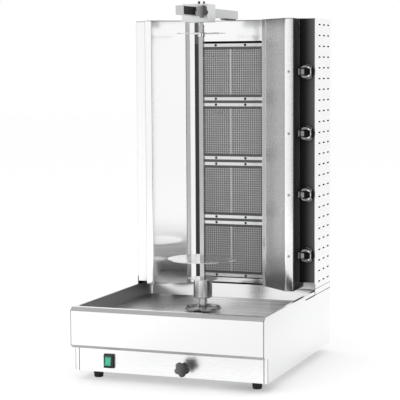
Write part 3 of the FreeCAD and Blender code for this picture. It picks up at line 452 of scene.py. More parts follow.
def edit(piece, kind, action="SELECT"):
    """Edit mode on vertices, edges or faces, with all of them selected or none."""
    pick(piece)
    bpy.ops.object.mode_set(mode="EDIT")
    bpy.ops.mesh.select_mode(type=kind)
    bpy.ops.mesh.select_all(action=action)


def choose(piece, kind, wanted):
    """Edit mode with only the edges or faces selected whose corners pass the test."""
    edit(piece, kind, "DESELECT")
    bpy.ops.object.mode_set(mode="OBJECT")
    vertices = piece.data.vertices
    for part in piece.data.edges if kind == "EDGE" else piece.data.polygons:
        part.select = wanted([vertices[v].co for v in part.vertices])
    bpy.ops.object.mode_set(mode="EDIT")


def tidy(piece, gap=1e-6):
    """Merges doubles and turns every face outwards."""
    edit(piece, "VERT")
    bpy.ops.mesh.remove_doubles(threshold=gap)
    bpy.ops.mesh.normals_make_consistent(inside=False)
    rest()


def modify(piece, kind, **settings):
    """Adds a modifier and applies it."""
    pick(piece)
    modifier = piece.modifiers.new(kind.title(), kind)
    for key, value in settings.items():
        setattr(modifier, key, value)
    bpy.ops.object.modifier_apply(modifier=modifier.name)


def repeated(piece, count, step):
    modify(piece, "ARRAY", count=count, use_relative_offset=False, use_constant_offset=True,
           constant_offset_displace=step)


def smoothed(piece, angle=38):
    """Shades the curves smooth and keeps the flats flat."""
    pick(piece)
    bpy.ops.object.shade_smooth_by_angle(angle=radians(angle))
    modify(piece, "WEIGHTED_NORMAL", keep_sharp=True)


def soften(piece, width=None, segments=2, angle=32):
    """Rounds every edge sharper than the angle, and shades the curves smooth."""
    modify(piece, "BEVEL", width=width or sizes().edge_radius, segments=segments, limit_method="ANGLE",
           angle_limit=radians(angle))
    smoothed(piece)


def block(name, low, high):
    rest()
    low, high = Vector(low), Vector(high)
    bpy.ops.mesh.primitive_cube_add(size=1, location=(low + high) / 2, scale=high - low)
    return named(name)


def stood(piece, centre, along):
    """Turns a piece made along Z so that it runs along a direction from its centre."""
    turn = Vector((0, 0, 1)).rotation_difference(Vector(along).normalized())
    piece.data.transform(Matrix.Translation(Vector(centre)) @ turn.to_matrix().to_4x4())
    return piece


def turned(name, outline, centre, along=(0, 0, 1), sides=64):
    """A closed outline of radius and height, spun round its centre line."""
    rest()
    bpy.ops.mesh.primitive_circle_add(vertices=len(outline), radius=0.01)
    piece = named(name)
    for vertex, (radius, height) in zip(piece.data.vertices, outline):
        vertex.co = (radius, 0, height)
    choose(piece, "EDGE", lambda ends: max(end.x for end in ends) < 1e-7)
    bpy.ops.mesh.delete(type="EDGE")
    bpy.ops.mesh.select_all(action="SELECT")
    bpy.ops.mesh.spin(steps=sides, angle=2 * pi, center=(0, 0, 0), axis=(0, 0, 1))
    tidy(piece)
    return stood(piece, centre, along)


def copied(piece, name):
    twin = piece.copy()
    twin.data = piece.data.copy()
    twin.name = name
    twin.data.name = name
    bpy.context.scene.collection.objects.link(twin)
    return twin


def shifted(piece, offset):
    piece.data.transform(Matrix.Translation(Vector(offset)))
    return piece


def joined(name, pieces):
    rest()
    for piece in pieces:
        piece.select_set(True)
    bpy.context.view_layer.objects.active = pieces[0]
    bpy.ops.object.join()
    pieces[0].name = name
    pieces[0].data.name = name
    return pieces[0]


def carved(piece, operation, *tools):
    """Cuts the tools out of a piece, or welds them on, and removes them."""
    for tool in tools:
        modify(piece, "BOOLEAN", operation=operation, object=tool, solver="EXACT")
        bpy.data.objects.remove(tool)


def finished(piece, finish, body, slot, *nodes):
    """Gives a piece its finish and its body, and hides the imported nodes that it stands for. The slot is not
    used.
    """
    piece.data.materials.clear()
    piece.data.materials.append(finishes[finish])
    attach(piece, body)
    if nodes:
        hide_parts(*nodes)
    return piece


def record_of(node):
    behaviour = frame["record"]["behaviour"]["bodies"]
    body = next(b for b, nodes in behaviour.items() if node in nodes)
    slot = next(s["material_slot"] for s in frame["record"]["subparts"] if s["node"] == node)
    return body, slot


def rounded(piece, wanted, radius):
    """Rounds the edges whose ends pass the test."""
    choose(piece, "EDGE", wanted)
    bpy.ops.mesh.bevel(offset=radius, segments=4, affect="EDGES")
    rest()


def bend(piece, wanted, radius):
    """Rounds the long folds of a sheet whose middle passes the test."""
    def fold(ends):
        return (ends[0] - ends[1]).length > 0.3 and wanted((ends[0] + ends[1]) / 2)

    rounded(piece, fold, radius)


def refinished(piece, finish, wanted):
    """Gives the faces whose middle and direction pass the test another finish."""
    piece.data.materials.append(finishes[finish])
    number = len(piece.data.materials) - 1
    for face in piece.data.polygons:
        if wanted(face.center, face.normal):
            face.material_index = number
    return piece


def softened(node, finish, width=None, shape=None):
    """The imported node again, merged, reshaped if asked, with its edges rounded."""
    source = frame["nodes"][node]
    piece = bpy.data.objects.new(node + "_shaped", source.data.copy())
    bpy.context.scene.collection.objects.link(piece)
    edit(piece, "VERT")
    bpy.ops.mesh.remove_doubles(threshold=1e-5)
    bpy.ops.mesh.dissolve_limited(angle_limit=radians(0.5))
    rest()
    if shape:
        shape(piece)
    soften(piece, width)
    return finished(piece, finish, *record_of(node), node)


def coated(node, finish):
    """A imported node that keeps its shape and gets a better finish."""
    materials = frame["nodes"][node].data.materials
    materials.clear()
    materials.append(finishes[finish])


# Pieces

class GrillOperator:
    bl_options = {"REGISTER", "UNDO"}

    def execute(self, context):
        self.build()
        return {"FINISHED"}


class GRILL_OT_sheets(GrillOperator, bpy.types.Operator):
    """Outer panels, reflectors and housings with rounded sheet edges"""
    bl_idname = "grill.sheets"
    bl_label = "Sheet metal"

    def slotted(self, node, axis, out):
        """A slotted sheet: round slot ends, and painted shade on its inner face and its slot walls."""
        low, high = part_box(node)
        margin, end_radius = 10 * mm, 1.9 * mm

        def within(point):
            return all(low[a] + margin < point[a] < high[a] - margin for a in range(3) if a != axis)

        def corner(ends):
            return within(ends[0]) and abs(ends[0][axis] - ends[1][axis]) > 1 * mm

        def painted_shade_faces(place, normal):
            return normal[axis] * out < -0.5 or (abs(normal[axis]) < 0.5 and within(place))

        piece = softened(node, "sheet", shape=lambda piece: rounded(piece, corner, end_radius))
        refinished(piece, "inside", painted_shade_faces)

    def wing(self, node, side):
        """A folded reflector with round bends, painted shade behind and on its step, and bright where it lines
        the recess; the right wing also has painted shade across it.
        """
        low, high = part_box(node)
        front, nose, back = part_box("gas_panel")[0].y, low.y + 6 * mm, high.y
        inner = min(abs(low.x), abs(high.x))
        flange, step, web, outer = (inner + reach * mm for reach in (8, 12, 60, 88))

        def fold(place):
            on_flange = place.y > back - 2 * mm and abs(place.x) > flange
            on_web = place.y > front + 10 * mm and abs(place.x) > web
            return not on_flange and not on_web

        def behind(place, normal):
            return normal.y > 0.3 or (side * normal.x > 0.5 and place.y > nose)

        # The right wing gets painted shade across it, except on its outer part.
        finish = "reflector" if side < 0 else "right_reflector"
        piece = softened(node, finish, shape=lambda piece: bend(piece, fold, 2.5 * mm))
        refinished(piece, "reflector", lambda place, normal: abs(place.x) > outer)
        # Painted shade on the step.
        refinished(piece, "step", lambda place, normal: normal.y < -0.9 and abs(place.x) < step)
        # Painted shade on the faces behind.
        refinished(piece, "inside", behind)
        refinished(piece, "lit_wall", lambda place, normal: (
            side * normal.x < -0.9 and abs(place.x) < inner + 2 * mm))

    def column(self, node, finish):
        """A column sheet with a round bend at its inner front corner."""
        low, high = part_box(node)
        corner = low.x if abs(low.x) < abs(high.x) else high.x

        def fold(place):
            return abs(place.x - corner) < 2 * mm and place.y < low.y + 2 * mm

        piece = softened(node, finish, shape=lambda piece: bend(piece, fold, 2 * mm))
        if node == "gas_panel":
            # Painted highlight on the fold of the gas panel's edge.
            refinished(piece, "edge", lambda place, normal: fold(place) and normal.x < -0.1)

    def fascia(self):
        """The front panel, with painted shade on its lower chamfer and darker painted shade on its side
        chamfers.
        """
        chamfer_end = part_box("front_fascia")[0].y + 14 * mm

        def fold(place):
            return place.y < chamfer_end

        piece = softened("front_fascia", "sheet", shape=lambda piece: bend(piece, fold, 1 * mm))
        refinished(piece, "shade", lambda place, normal: normal.z < -0.5 and normal.y < -0.3)
        refinished(piece, "inside", lambda place, normal: abs(normal.x) > 0.25 and normal.y < -0.25)

    def strip(self, name, node, finish, low, high):
        """A thin flat strip of another shade on the body of a node."""
        strip = block(name, low, high)
        soften(strip, min(Vector(high) - Vector(low)) * 0.3)
        finished(strip, finish, *record_of(node))

    def strips(self):
        """Dark strips of painted shade that close the gaps beside and between the burners, and a grey strip of
        painted highlight beside the gas panel.
        """
        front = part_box("burner_housing_1")[0].y + 2.2 * mm
        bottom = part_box("burner_housing_4")[0].z
        burner_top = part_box("burner_housing_1")[1].z
        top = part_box("recess_panels")[1].z
        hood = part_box("recess_panels")[0].y
        tray_side, wing_side, rail_end = 97.3 * mm, 108.6 * mm, 96 * mm
        for side, word in both_sides:
            near, far = sorted((side * tray_side, side * wing_side))
            for name, finish, z0, z1 in (
                    ("recess_strip", "inside", bottom, burner_top), ("hood_strip", "gap", burner_top, top)):
                self.strip(f"{name}_{word}", "burner_housing_1", finish,
                           (near, hood - 1.2 * mm, z0), (far, hood - 0.2 * mm, z1))
        low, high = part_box("gas_panel")
        # A grey strip painted as the highlight on the fold beside the black gas panel.
        self.strip("panel_edge", "gas_panel", "gap", (low.x - 0.2 * mm, low.y - 18 * mm, low.z),
                   (low.x + 0.2 * mm, low.y - 12 * mm, high.z))
        for i in burners[1:]:
            self.strip(f"burner_gap_{i}", "burner_housing_1", "gap",
                       (-rail_end, front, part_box(f"burner_housing_{i}")[1].z),
                       (rail_end, front + 1 * mm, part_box(f"burner_housing_{i - 1}")[0].z))

    def seams(self):
        """The dark joints between the sheets of the base and the tower."""
        skin_low, skin_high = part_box("tower_skin_right")
        panel_low, panel_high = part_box("control_panel")
        slit, front, back = skin_low.z, skin_low.y, skin_high.y
        fascia_low, fascia_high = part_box("front_fascia")
        for side, word in both_sides:
            near, far = sorted((side * (skin_high.x - 0.1 * mm), side * (skin_high.x + 0.2 * mm)))
            for name, y0, y1, z0, z1 in (
                    ("slit", front - 93 * mm, front, slit - 1.8 * mm, slit + 1.8 * mm),
                    ("joint", front, back, slit - 1.0 * mm, slit + 0.8 * mm),
                    ("corner", front - 3 * mm, front + 2 * mm, slit, slit + 32 * mm),
                    ("fold", front + 2 * mm, back, slit + 16.4 * mm, slit + 17.6 * mm)):
                self.strip(f"{name}_seam_{word}", "tower_skin_right", "inside", (near, y0, z0), (far, y1, z1))
            for name, node, x0, x1, low, high in (
                    ("post", "control_panel", panel_high.x - 0.4 * mm, panel_high.x + 1.6 * mm,
                     panel_low.z + 1 * mm, panel_high.z),
                    ("side", "control_panel", skin_high.x - 1 * mm, skin_high.x + 0.1 * mm,
                     panel_low.z + 1 * mm, panel_high.z),
                    ("front", "front_fascia", fascia_high.x - 1.2 * mm, fascia_high.x + 0.1 * mm,
                     fascia_low.z + 7 * mm, fascia_high.z - 7 * mm)):
                near, far = sorted((side * x0, side * x1))
                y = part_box(node)[0].y
                self.strip(f"{name}_seam_{word}", node, "inside",
                           (near, y - 0.2 * mm, low), (far, y + 0.3 * mm, high))

    def basin(self):
        """The grease basin: painted shade across its floor, darker towards the left, and on both side walls,
        the right wall darkest.
        """
        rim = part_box("basin")[1].z
        floor_top, wall_top = rim - 20 * mm, rim - 3 * mm
        piece = softened("basin", "basin")
        refinished(piece, "basin_floor", lambda place, normal: normal.z > 0.7 and place.z < floor_top)
        refinished(piece, "basin_shade", lambda place, normal: normal.x > 0.7 and place.z < wall_top)
        refinished(piece, "inside", lambda place, normal: normal.x < -0.7 and place.z < wall_top)

    def build(self):
        self.slotted("tower_skin_right", 0, 1)
        self.slotted("tower_skin_left", 0, -1)
        self.slotted("tower_back", 1, 1)
        self.wing("wing_right", 1)
        self.wing("wing_left", -1)
        self.basin()
        self.fascia()
        self.strips()
        self.seams()
        self.column("column_left", "sheet")
        self.column("gas_panel", "enamel")
        softened("base_back", "sheet")
        for side, word in both_sides:
            # Painted shade on the inner faces and the front chamfers of the base sides.
            refinished(softened("base_side_" + word, "sheet"), "inside", lambda place, normal: (
                side * normal.x < -0.5 or (side * normal.x > 0.25 and normal.y < -0.25)))
        softened("control_panel", "front_sheet")
        # Painted shade on the top's underside.
        refinished(softened("tower_top", "sheet"), "inside", lambda place, normal: normal.z < -0.5)
        for node in ("column_skirt", "recess_panels"):
            softened(node, "reflector")
        for i in burners:
            node = f"burner_housing_{i}"
            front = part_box(node)[0].y + 0.8 * mm
            # Painted shade on the housing faces behind their fronts.
            refinished(softened(node, "rail"), "gap", lambda place, normal: place.y > front)
        softened("top_arm", "arm")
        softened("bottom_plate", "zinc")


class GRILL_OT_inner(GrillOperator, bpy.types.Operator):
    """Finishes of the gas train, the carriage and the small fittings"""
    bl_idname = "grill.inner"
    bl_label = "Inner works"

    def build(self):
        finish_of = {
            "guide_rods": "polished", "rod_brackets": "zinc", "carriage_plate": "zinc",
            "carriage_bushings": "bronze", "gear_motor": "casting", "gas_manifold": "zinc",
            "gas_valves": "brass", "supply_tubes": "zinc", "slide_strip": "slide", "arm_spacer": "satin",
            "holder_bush": "bronze",
        }
        for i in burners:
            finish_of[f"valve_plunger_{i}"] = "brass"
        for node, finish in finish_of.items():
            coated(node, finish)


class GRILL_OT_screens(GrillOperator, bpy.types.Operator):
    """Woven wire screens in front of the burner tiles"""
    bl_idname = "grill.screens"
    bl_label = "Burner screens"

    def wire(self, name, length, flip):
        """One wire along X that weaves over and under in steps of the pitch."""
        pitch, gauge = sizes().wire_pitch, sizes().wire_gauge
        cells = round(length / pitch)
        rest()
        bpy.ops.mesh.primitive_cylinder_add(vertices=6, radius=gauge / 2, depth=cells * pitch,
                                            rotation=(0, pi / 2, 0))
        piece = named(name)
        choose(piece, "EDGE", lambda ends: abs(ends[0].x - ends[1].x) > length / 2)
        bpy.ops.mesh.subdivide(number_cuts=cells * 4 - 1)
        rest()
        lift = gauge / 2 * (-1 if flip else 1)
        for vertex in piece.data.vertices:
            vertex.co.y += lift * sin(pi * (vertex.co.x / pitch + cells / 2))
        return piece

    def cloth(self, name, length, width):
        """Wires along X, every other one in the opposite phase."""
        pitch = sizes().wire_pitch
        count = round(width / pitch)
        first = self.wire(name, length, False)
        second = shifted(self.wire(name + "_b", length, True), (0, 0, pitch))
        start = -pitch * (count - 1) / 2
        pair = shifted(joined(name, [first, second]), (0, 0, start))
        repeated(pair, count // 2, (0, 0, 2 * pitch))
        return pair

    def build(self):
        pitch_z = middle("burner_housing_1").z - middle("burner_housing_2").z
        width, height = 184 * mm, 132 * mm
        across = self.cloth("screen_across", width, height)
        upright = self.cloth("screen_upright", height, width)
        upright.data.transform(Matrix.Rotation(-pi / 2, 4, "Y"))
        for vertex in upright.data.vertices:
            vertex.co.y *= -1
        tidy(upright)
        seam = block("screen_seam", (-1.2 * mm, -1.1 * mm, -height / 2), (1.2 * mm, -0.5 * mm, height / 2))
        soften(seam, 0.2 * mm)
        screen = joined("burner_screen_1", [across, upright, seam])
        pick(screen)
        bpy.ops.object.shade_smooth()
        clearance = 1.6 * mm
        shifted(screen, (0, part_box("ceramic_tiles")[0].y - clearance, middle("burner_housing_1").z))
        for i in burners:
            piece = screen
            if i > 1:
                piece = shifted(copied(screen, f"burner_screen_{i}"), (0, 0, -pitch_z * (i - 1)))
            finished(piece, "wire", *record_of("burner_screens"), "burner_screens")


class GRILL_OT_tiles(GrillOperator, bpy.types.Operator):
    """Ceramic burner tiles with their rows of gas holes"""
    bl_idname = "grill.tiles"
    bl_label = "Burner tiles"

    def hexagon(self, name, radius):
        rest()
        bpy.ops.mesh.primitive_circle_add(vertices=6, radius=radius, fill_type="NOTHING",
                                          rotation=(pi / 2, 0, 0))
        return named(name)

    def holes(self, columns, rows):
        """The front face of a tile: square cells side by side, each with one blind hole."""
        pitch, depth = sizes().hole_pitch, 4 * mm
        half = pitch / 2
        cell = self.hexagon("tile_cell", sizes().hole_radius)
        edit(cell, "EDGE")
        bpy.ops.mesh.extrude_region_move(TRANSFORM_OT_translate={"value": (0, depth, 0)})
        bpy.ops.mesh.edge_face_add()
        rim = self.hexagon("tile_rim", pitch)
        for vertex in rim.data.vertices:
            angle = atan2(vertex.co.z, vertex.co.x)
            upright = abs(cos(angle)) < 0.1
            vertex.co.x = 0 if upright else copysign(half, cos(angle))
            vertex.co.z = copysign(half, sin(angle))
        cell = joined("tile_cell", [cell, rim])
        choose(cell, "EDGE", lambda ends: max(end.y for end in ends) < 1 * mm)
        bpy.ops.mesh.bridge_edge_loops()
        for axis, count in (((1, 0, 0), columns), ((0, 0, 1), rows)):
            repeated(cell, count, Vector(axis) * pitch)
        return shifted(cell, (-(columns - 1) * half, 0, -(rows - 1) * half))

    def build(self):
        pitch = sizes().hole_pitch
        low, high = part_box("ceramic_tiles")
        width, height, tile_pitch = 91.4 * mm, 132 * mm, 92 * mm
        columns, rows = int(width / pitch), int(height / pitch)
        holes = self.holes(columns, rows)
        shell = block("tile_shell", (-width / 2, 0, -height / 2), (width / 2, high.y - low.y, height / 2))
        choose(shell, "FACE", lambda corners: max(corner.y for corner in corners) < 1 * mm)
        bpy.ops.mesh.inset(thickness=(width - columns * pitch) / 2)
        bpy.ops.mesh.delete(type="FACE")
        rest()
        for vertex in shell.data.vertices:
            if abs(vertex.co.x) < width / 2 - 1e-6 and vertex.co.y < 1e-6:
                vertex.co.x = copysign(columns * pitch / 2, vertex.co.x)
                vertex.co.z = copysign(rows * pitch / 2, vertex.co.z)
        tile = joined("ceramic_tile_1", [shell, holes])
        tidy(tile, 1e-5)
        for i in burners:
            for side in (-1, 1):
                piece = copied(tile, f"ceramic_tile_{2 * i + (side - 1) // 2}_shaped")
                shifted(piece, (side * tile_pitch / 2, low.y, middle(f"burner_housing_{i}").z))
                finished(piece, "ceramic", *record_of("ceramic_tiles"), "ceramic_tiles")
        bpy.data.objects.remove(tile)


class GRILL_OT_gas_knobs(GrillOperator, bpy.types.Operator):
    """Round-skirted gas knobs with a grip bar and a pointer groove"""
    bl_idname = "grill.gas_knobs"
    bl_label = "Gas knobs"

    def build(self):
        low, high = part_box("gas_knob_1")
        centre = (low + high) / 2
        radius = (high.x - low.x) / 2
        depth, skirt = sizes().knob_depth, sizes().knob_skirt
        back = low.y + depth
        outline = [
            (0, 0.5 * mm), (radius - 2.5 * mm, 0.5 * mm), (radius - 2.2 * mm, 0), (radius - 0.4 * mm, 0),
            (radius, 0.5 * mm), (radius, skirt - 2.2 * mm), (radius - 1 * mm, skirt - 0.6 * mm),
            (radius - 2.6 * mm, skirt), (radius - 3 * mm, skirt + 0.4 * mm),
            (radius - 4.2 * mm, skirt + 7 * mm), (radius - 5.2 * mm, skirt + 8.6 * mm),
            (radius - 6 * mm, skirt + 9 * mm), (radius - 9 * mm, skirt + 9.3 * mm), (0, skirt + 9.6 * mm),
        ]
        body = turned("gas_knob_body", outline, (0, 0, 0))
        half = sizes().grip_width / 2
        reach = radius - 3 * mm
        grip = block("gas_knob_grip", (-reach, -half, skirt + 2 * mm), (reach * 0.76, half, depth))
        choose(grip, "EDGE", lambda ends: abs(ends[0].x - ends[1].x) > reach)
        bpy.ops.mesh.subdivide(number_cuts=11)
        rest()
        side_taper, end_taper, droop = 0.86, 0.93, 4 * mm
        for vertex in grip.data.vertices:
            if vertex.co.z > skirt + 5 * mm:
                vertex.co.y *= side_taper
                vertex.co.x *= end_taper
                vertex.co.z -= droop * (vertex.co.x / reach) ** 2
        soften(grip, 1.8 * mm, 4, 50)
        groove = block("gas_knob_groove", (reach * 0.25, -0.6 * mm, depth - 0.6 * mm),
                       (reach * 1.2, 0.6 * mm, depth + 1 * mm))
        carved(body, "UNION", grip)
        carved(body, "DIFFERENCE", groove)
        smoothed(body, 35)
        grip_back = back - skirt - 9.8 * mm

        def grip_side(place):
            return place.y < grip_back

        for i in burners:
            node = f"gas_knob_{i}"
            height = middle(node).z
            piece = copied(body, node + "_shaped")
            stood(piece, (centre.x, back, height), (0, -1, 0))
            finished(piece, "gloss", *record_of(node), node)

            def crescent(place, normal):
                inner, outer = 13.6 * mm, 17.6 * mm
                away = Vector((place.x - centre.x, place.z - height)).length
                return (not grip_side(place) and place.x > centre.x + 8 * mm and normal.y < -0.5
                        and inner < away < outer)

            # Painted shade: the right half of the grip's front and the far right of the skirt are near black.
            refinished(piece, "jet", lambda place, normal: (
                (grip_side(place) and place.x > centre.x + 1 * mm) or place.x > centre.x + 17.5 * mm))
            # Painted highlight: a bright ring on the right of the skirt.
            refinished(piece, "bright_chrome", crescent)
            # Painted highlight: the left end of the grip is grey.
            refinished(piece, "edge", lambda place, normal: grip_side(place) and place.x < centre.x - 13 * mm)
        bpy.data.objects.remove(body)


class GRILL_OT_star_knobs(GrillOperator, bpy.types.Operator):
    """The two lobed hand knobs and the rods they turn on"""
    bl_idname = "grill.star_knobs"
    bl_label = "Star knobs"

    def star(self, name, radius, depth, neck):
        """A moulded knob: a turned body with valleys pressed in between its lobes."""
        lobes, core, valley_depth = sizes().star_lobes, 0.5, 0.24
        outline = [
            (0, 0), (radius * 0.46, 0), (radius * 0.46, neck), (radius * 0.86, neck + 0.6 * mm),
            (radius * 0.97, neck + 2.4 * mm), (radius, neck + 4.5 * mm), (radius, neck + depth - 4.5 * mm),
            (radius * 0.96, neck + depth - 2 * mm), (radius * 0.84, neck + depth - 0.5 * mm),
            (radius * 0.7, neck + depth), (0, neck + depth),
        ]
        piece = turned(name, outline, (0, 0, 0), sides=120)
        for vertex in piece.data.vertices:
            reach = vertex.co.xy.length / radius
            if reach > core:
                angle = atan2(vertex.co.y, vertex.co.x)
                valley = (0.5 - 0.5 * cos(lobes * angle)) ** 2
                vertex.co.xy *= 1 - valley_depth * valley * (reach - core) / core
        smoothed(piece, 50)
        return piece

    def build(self):
        turn = radians(14)
        for node, radius, depth, neck, rod in (("adjust_knob", 20 * mm, 16 * mm, 6 * mm, 5 * mm),
                                               ("holder_knob", 17.5 * mm, 16 * mm, 8 * mm, 3 * mm)):
            centre, (low, high) = middle(node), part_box(node)
            start = low.y + depth + neck
            knob = self.star(node + "_star", radius, depth, neck)
            stood(knob, (centre.x, start, centre.z), (0, -1, 0))
            knob.data.transform(Matrix.Translation(centre) @ Matrix.Rotation(turn, 4, "Y")
                                @ Matrix.Translation(-centre))
            length, collar = high.y - start, rod + 3 * mm
            steps = [(rod, 0.6)]
            if node == "adjust_knob":
                steps = [(rod, 14.1), (collar, 14.1), (collar, 10.1), (rod, 10.1),
                         (rod, 5.9), (collar, 5.9), (collar, 0.4)]
            outline = [(0, 0), (rod, 0), *((reach, length - before * mm) for reach, before in steps),
                       (rod - 0.6 * mm, length), (0, length)]
            piece = turned(node + "_rod", outline, (centre.x, start, centre.z), (0, 1, 0), 32)
            soften(piece, 0.3 * mm)
            finished(piece, "polished", *record_of(node), node)
            # The star faces carry painted light, lighter on their left.
            finished(knob, node.split("_")[0] + "_face", *record_of(node), node)


class GRILL_OT_switch(GrillOperator, bpy.types.Operator):
    """Power switch: black frame and green rocker"""
    bl_idname = "grill.switch"
    bl_label = "Power switch"

    def build(self):
        softened("switch_housing", "satin", 0.7 * mm)
        softened("switch_rocker", "lens", 0.8 * mm)


class GRILL_OT_screws(GrillOperator, bpy.types.Operator):
    """Domed screws with a cross recess"""
    bl_idname = "grill.screws"
    bl_label = "Panel screws"

    def head(self, radius, height):
        outline = [(0, 0), (radius, 0), (radius, height * 0.25), (radius * 0.86, height * 0.62),
                   (radius * 0.6, height * 0.88), (radius * 0.25, height), (0, height)]
        screw = turned("screw_head", outline, (0, 0, 0), sides=20)
        arms = []
        for reach_x, reach_y in ((0.55, 0.12), (0.12, 0.55)):
            arms.append(block("screw_recess", (-radius * reach_x, -radius * reach_y, height * 0.45),
                              (radius * reach_x, radius * reach_y, height * 1.5)))
        carved(screw, "DIFFERENCE", *arms)
        smoothed(screw, 35)
        return screw

    def build(self):
        rail_reach = 100 * mm
        head = self.head(radius=3.7 * mm, height=1.5 * mm)
        source = frame["nodes"]["panel_screws"].data
        heads = {"panel_screws": [], "rail_screws": []}
        for place, out in self.places(source):
            group = "rail_screws" if abs(place.x) < rail_reach and out.y < -0.9 else "panel_screws"
            heads[group].append(stood(copied(head, "screw_copy"), place, out))
        bpy.data.objects.remove(head)
        for group, finish in (("panel_screws", "screw"), ("rail_screws", "dark_screw")):
            screws = joined(group + "_shaped", heads[group])
            finished(screws, finish, *record_of("panel_screws"), "panel_screws")

    def places(self, source):
        """Where each packed head sits and which way it faces, from its separate shells."""
        copy = bpy.data.objects.new("screw_source", source.copy())
        bpy.context.scene.collection.objects.link(copy)
        tidy(copy, 1e-5)
        before = set(bpy.data.objects)
        edit(copy, "FACE")
        bpy.ops.mesh.separate(type="LOOSE")
        rest()
        shells = [copy] + [o for o in bpy.data.objects if o not in before]
        found = []
        for shell in shells:
            base_normal = self.base_normal(shell.data)
            points = [v.co for v in shell.data.vertices]
            depth = max(p.dot(base_normal) for p in points)
            base = [p for p in points if p.dot(base_normal) > depth - 1e-5]
            found.append((sum(base, Vector()) / len(base), -base_normal))
        for shell in shells:
            bpy.data.objects.remove(shell)
        return found

    def base_normal(self, mesh):
        """The direction in which a head's flat faces have the most area: its seat."""
        areas = {}
        for polygon in mesh.polygons:
            key = tuple(round(c, 2) for c in polygon.normal)
            areas[key] = areas.get(key, 0) + polygon.area
        return Vector(max(areas, key=areas.get)).normalized()


class GRILL_OT_spit(GrillOperator, bpy.types.Operator):
    """Spit with its hub, coupling, drip disc and plates"""
    bl_idname = "grill.spit"
    bl_label = "Spit"

    def lathe(self, node, outline, finish="turned", sides=96):
        """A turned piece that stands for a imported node, its outline in millimetres of radius and height."""
        centre = middle("drip_disc")
        points = [(radius * mm, height * mm) for radius, height in outline]
        piece = turned(node + "_turned", points, (centre.x, centre.y, 0), sides=sides)
        smoothed(piece, 30)
        return finished(piece, finish, *record_of(node), node)

    def build(self):
        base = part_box("drip_disc")[0].z / mm
        self.lathe("drip_disc", [
            (8, base), (47.9, base), (48.6, base + 0.2), (50.3, base + 1.9), (50.5, base + 2.6),
            (50.5, base + 7.1), (50.1, base + 7.5), (46.9, base + 7.5), (46.4, base + 7.2),
            (43.6, base + 2.1), (43.2, base + 2), (8, base + 2),
        ], "disc")
        bottom, top = (corner.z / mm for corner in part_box("spit_hub"))
        self.lathe("spit_hub", [
            (0, bottom), (24.5, bottom), (26, bottom + 1.5), (26, top - 2.9), (26.4, top - 2.5),
            (40.6, top - 2.5), (41, top - 2.1), (41, top - 0.4), (40.6, top), (0, top),
        ])
        for node, width in (("drive_shaft", 0.3), ("meat_plate", 0.4), ("top_disc", 0.3)):
            softened(node, "turned", width * mm)
        bar = softened("spit_bar", "reflector", 1.8 * mm)
        # Painted shade: the bar's front face is darker, standing in for the dark reflection it shows.
        refinished(bar, "bar", lambda place, normal: normal.y < -0.95)


class GRILL_OT_holder(GrillOperator, bpy.types.Operator):
    """Spit holder with its cap and socket bolts"""
    bl_idname = "grill.holder"
    bl_label = "Spit holder"

    def build(self):
        softened("holder_block", "alloy", 0.6 * mm)
        cap = softened("holder_cap", "alloy", 0.3 * mm)
        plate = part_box("holder_block")[1].z + 2.2 * mm
        refinished(cap, "dark_screw", lambda place, normal: place.z > plate)


class GRILL_OT_feet(GrillOperator, bpy.types.Operator):
    """Rubber feet with rounded rims"""
    bl_idname = "grill.feet"
    bl_label = "Feet"

    def build(self):
        low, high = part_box("rubber_feet")
        top, bottom, height = 15 * mm, 12 * mm, high.z
        outline = [(0, 0), (bottom - 2 * mm, 0), (bottom - 0.6 * mm, 0.5 * mm), (bottom, 2 * mm),
                   (bottom + 0.4 * mm, 4 * mm), (top - 0.3 * mm, height - 3 * mm), (top, height - 1.5 * mm),
                   (top - 0.6 * mm, height), (0, height)]
        feet = []
        for x in (low.x + top, high.x - top):
            for y in (low.y + top, high.y - top):
                feet.append(turned("foot", outline, (x, y, 0), sides=40))
        foot = joined("rubber_feet_shaped", feet)
        smoothed(foot, 35)
        finished(foot, "rubber", *record_of("rubber_feet"), "rubber_feet")


class GRILL_OT_fittings(GrillOperator, bpy.types.Operator):
    """Gas inlet and cable gland"""
    bl_idname = "grill.fittings"
    bl_label = "Rear fittings"

    def build(self):
        softened("gas_inlet", "brass", 0.4 * mm)
        softened("cable_gland", "satin", 0.5 * mm)


# Stage

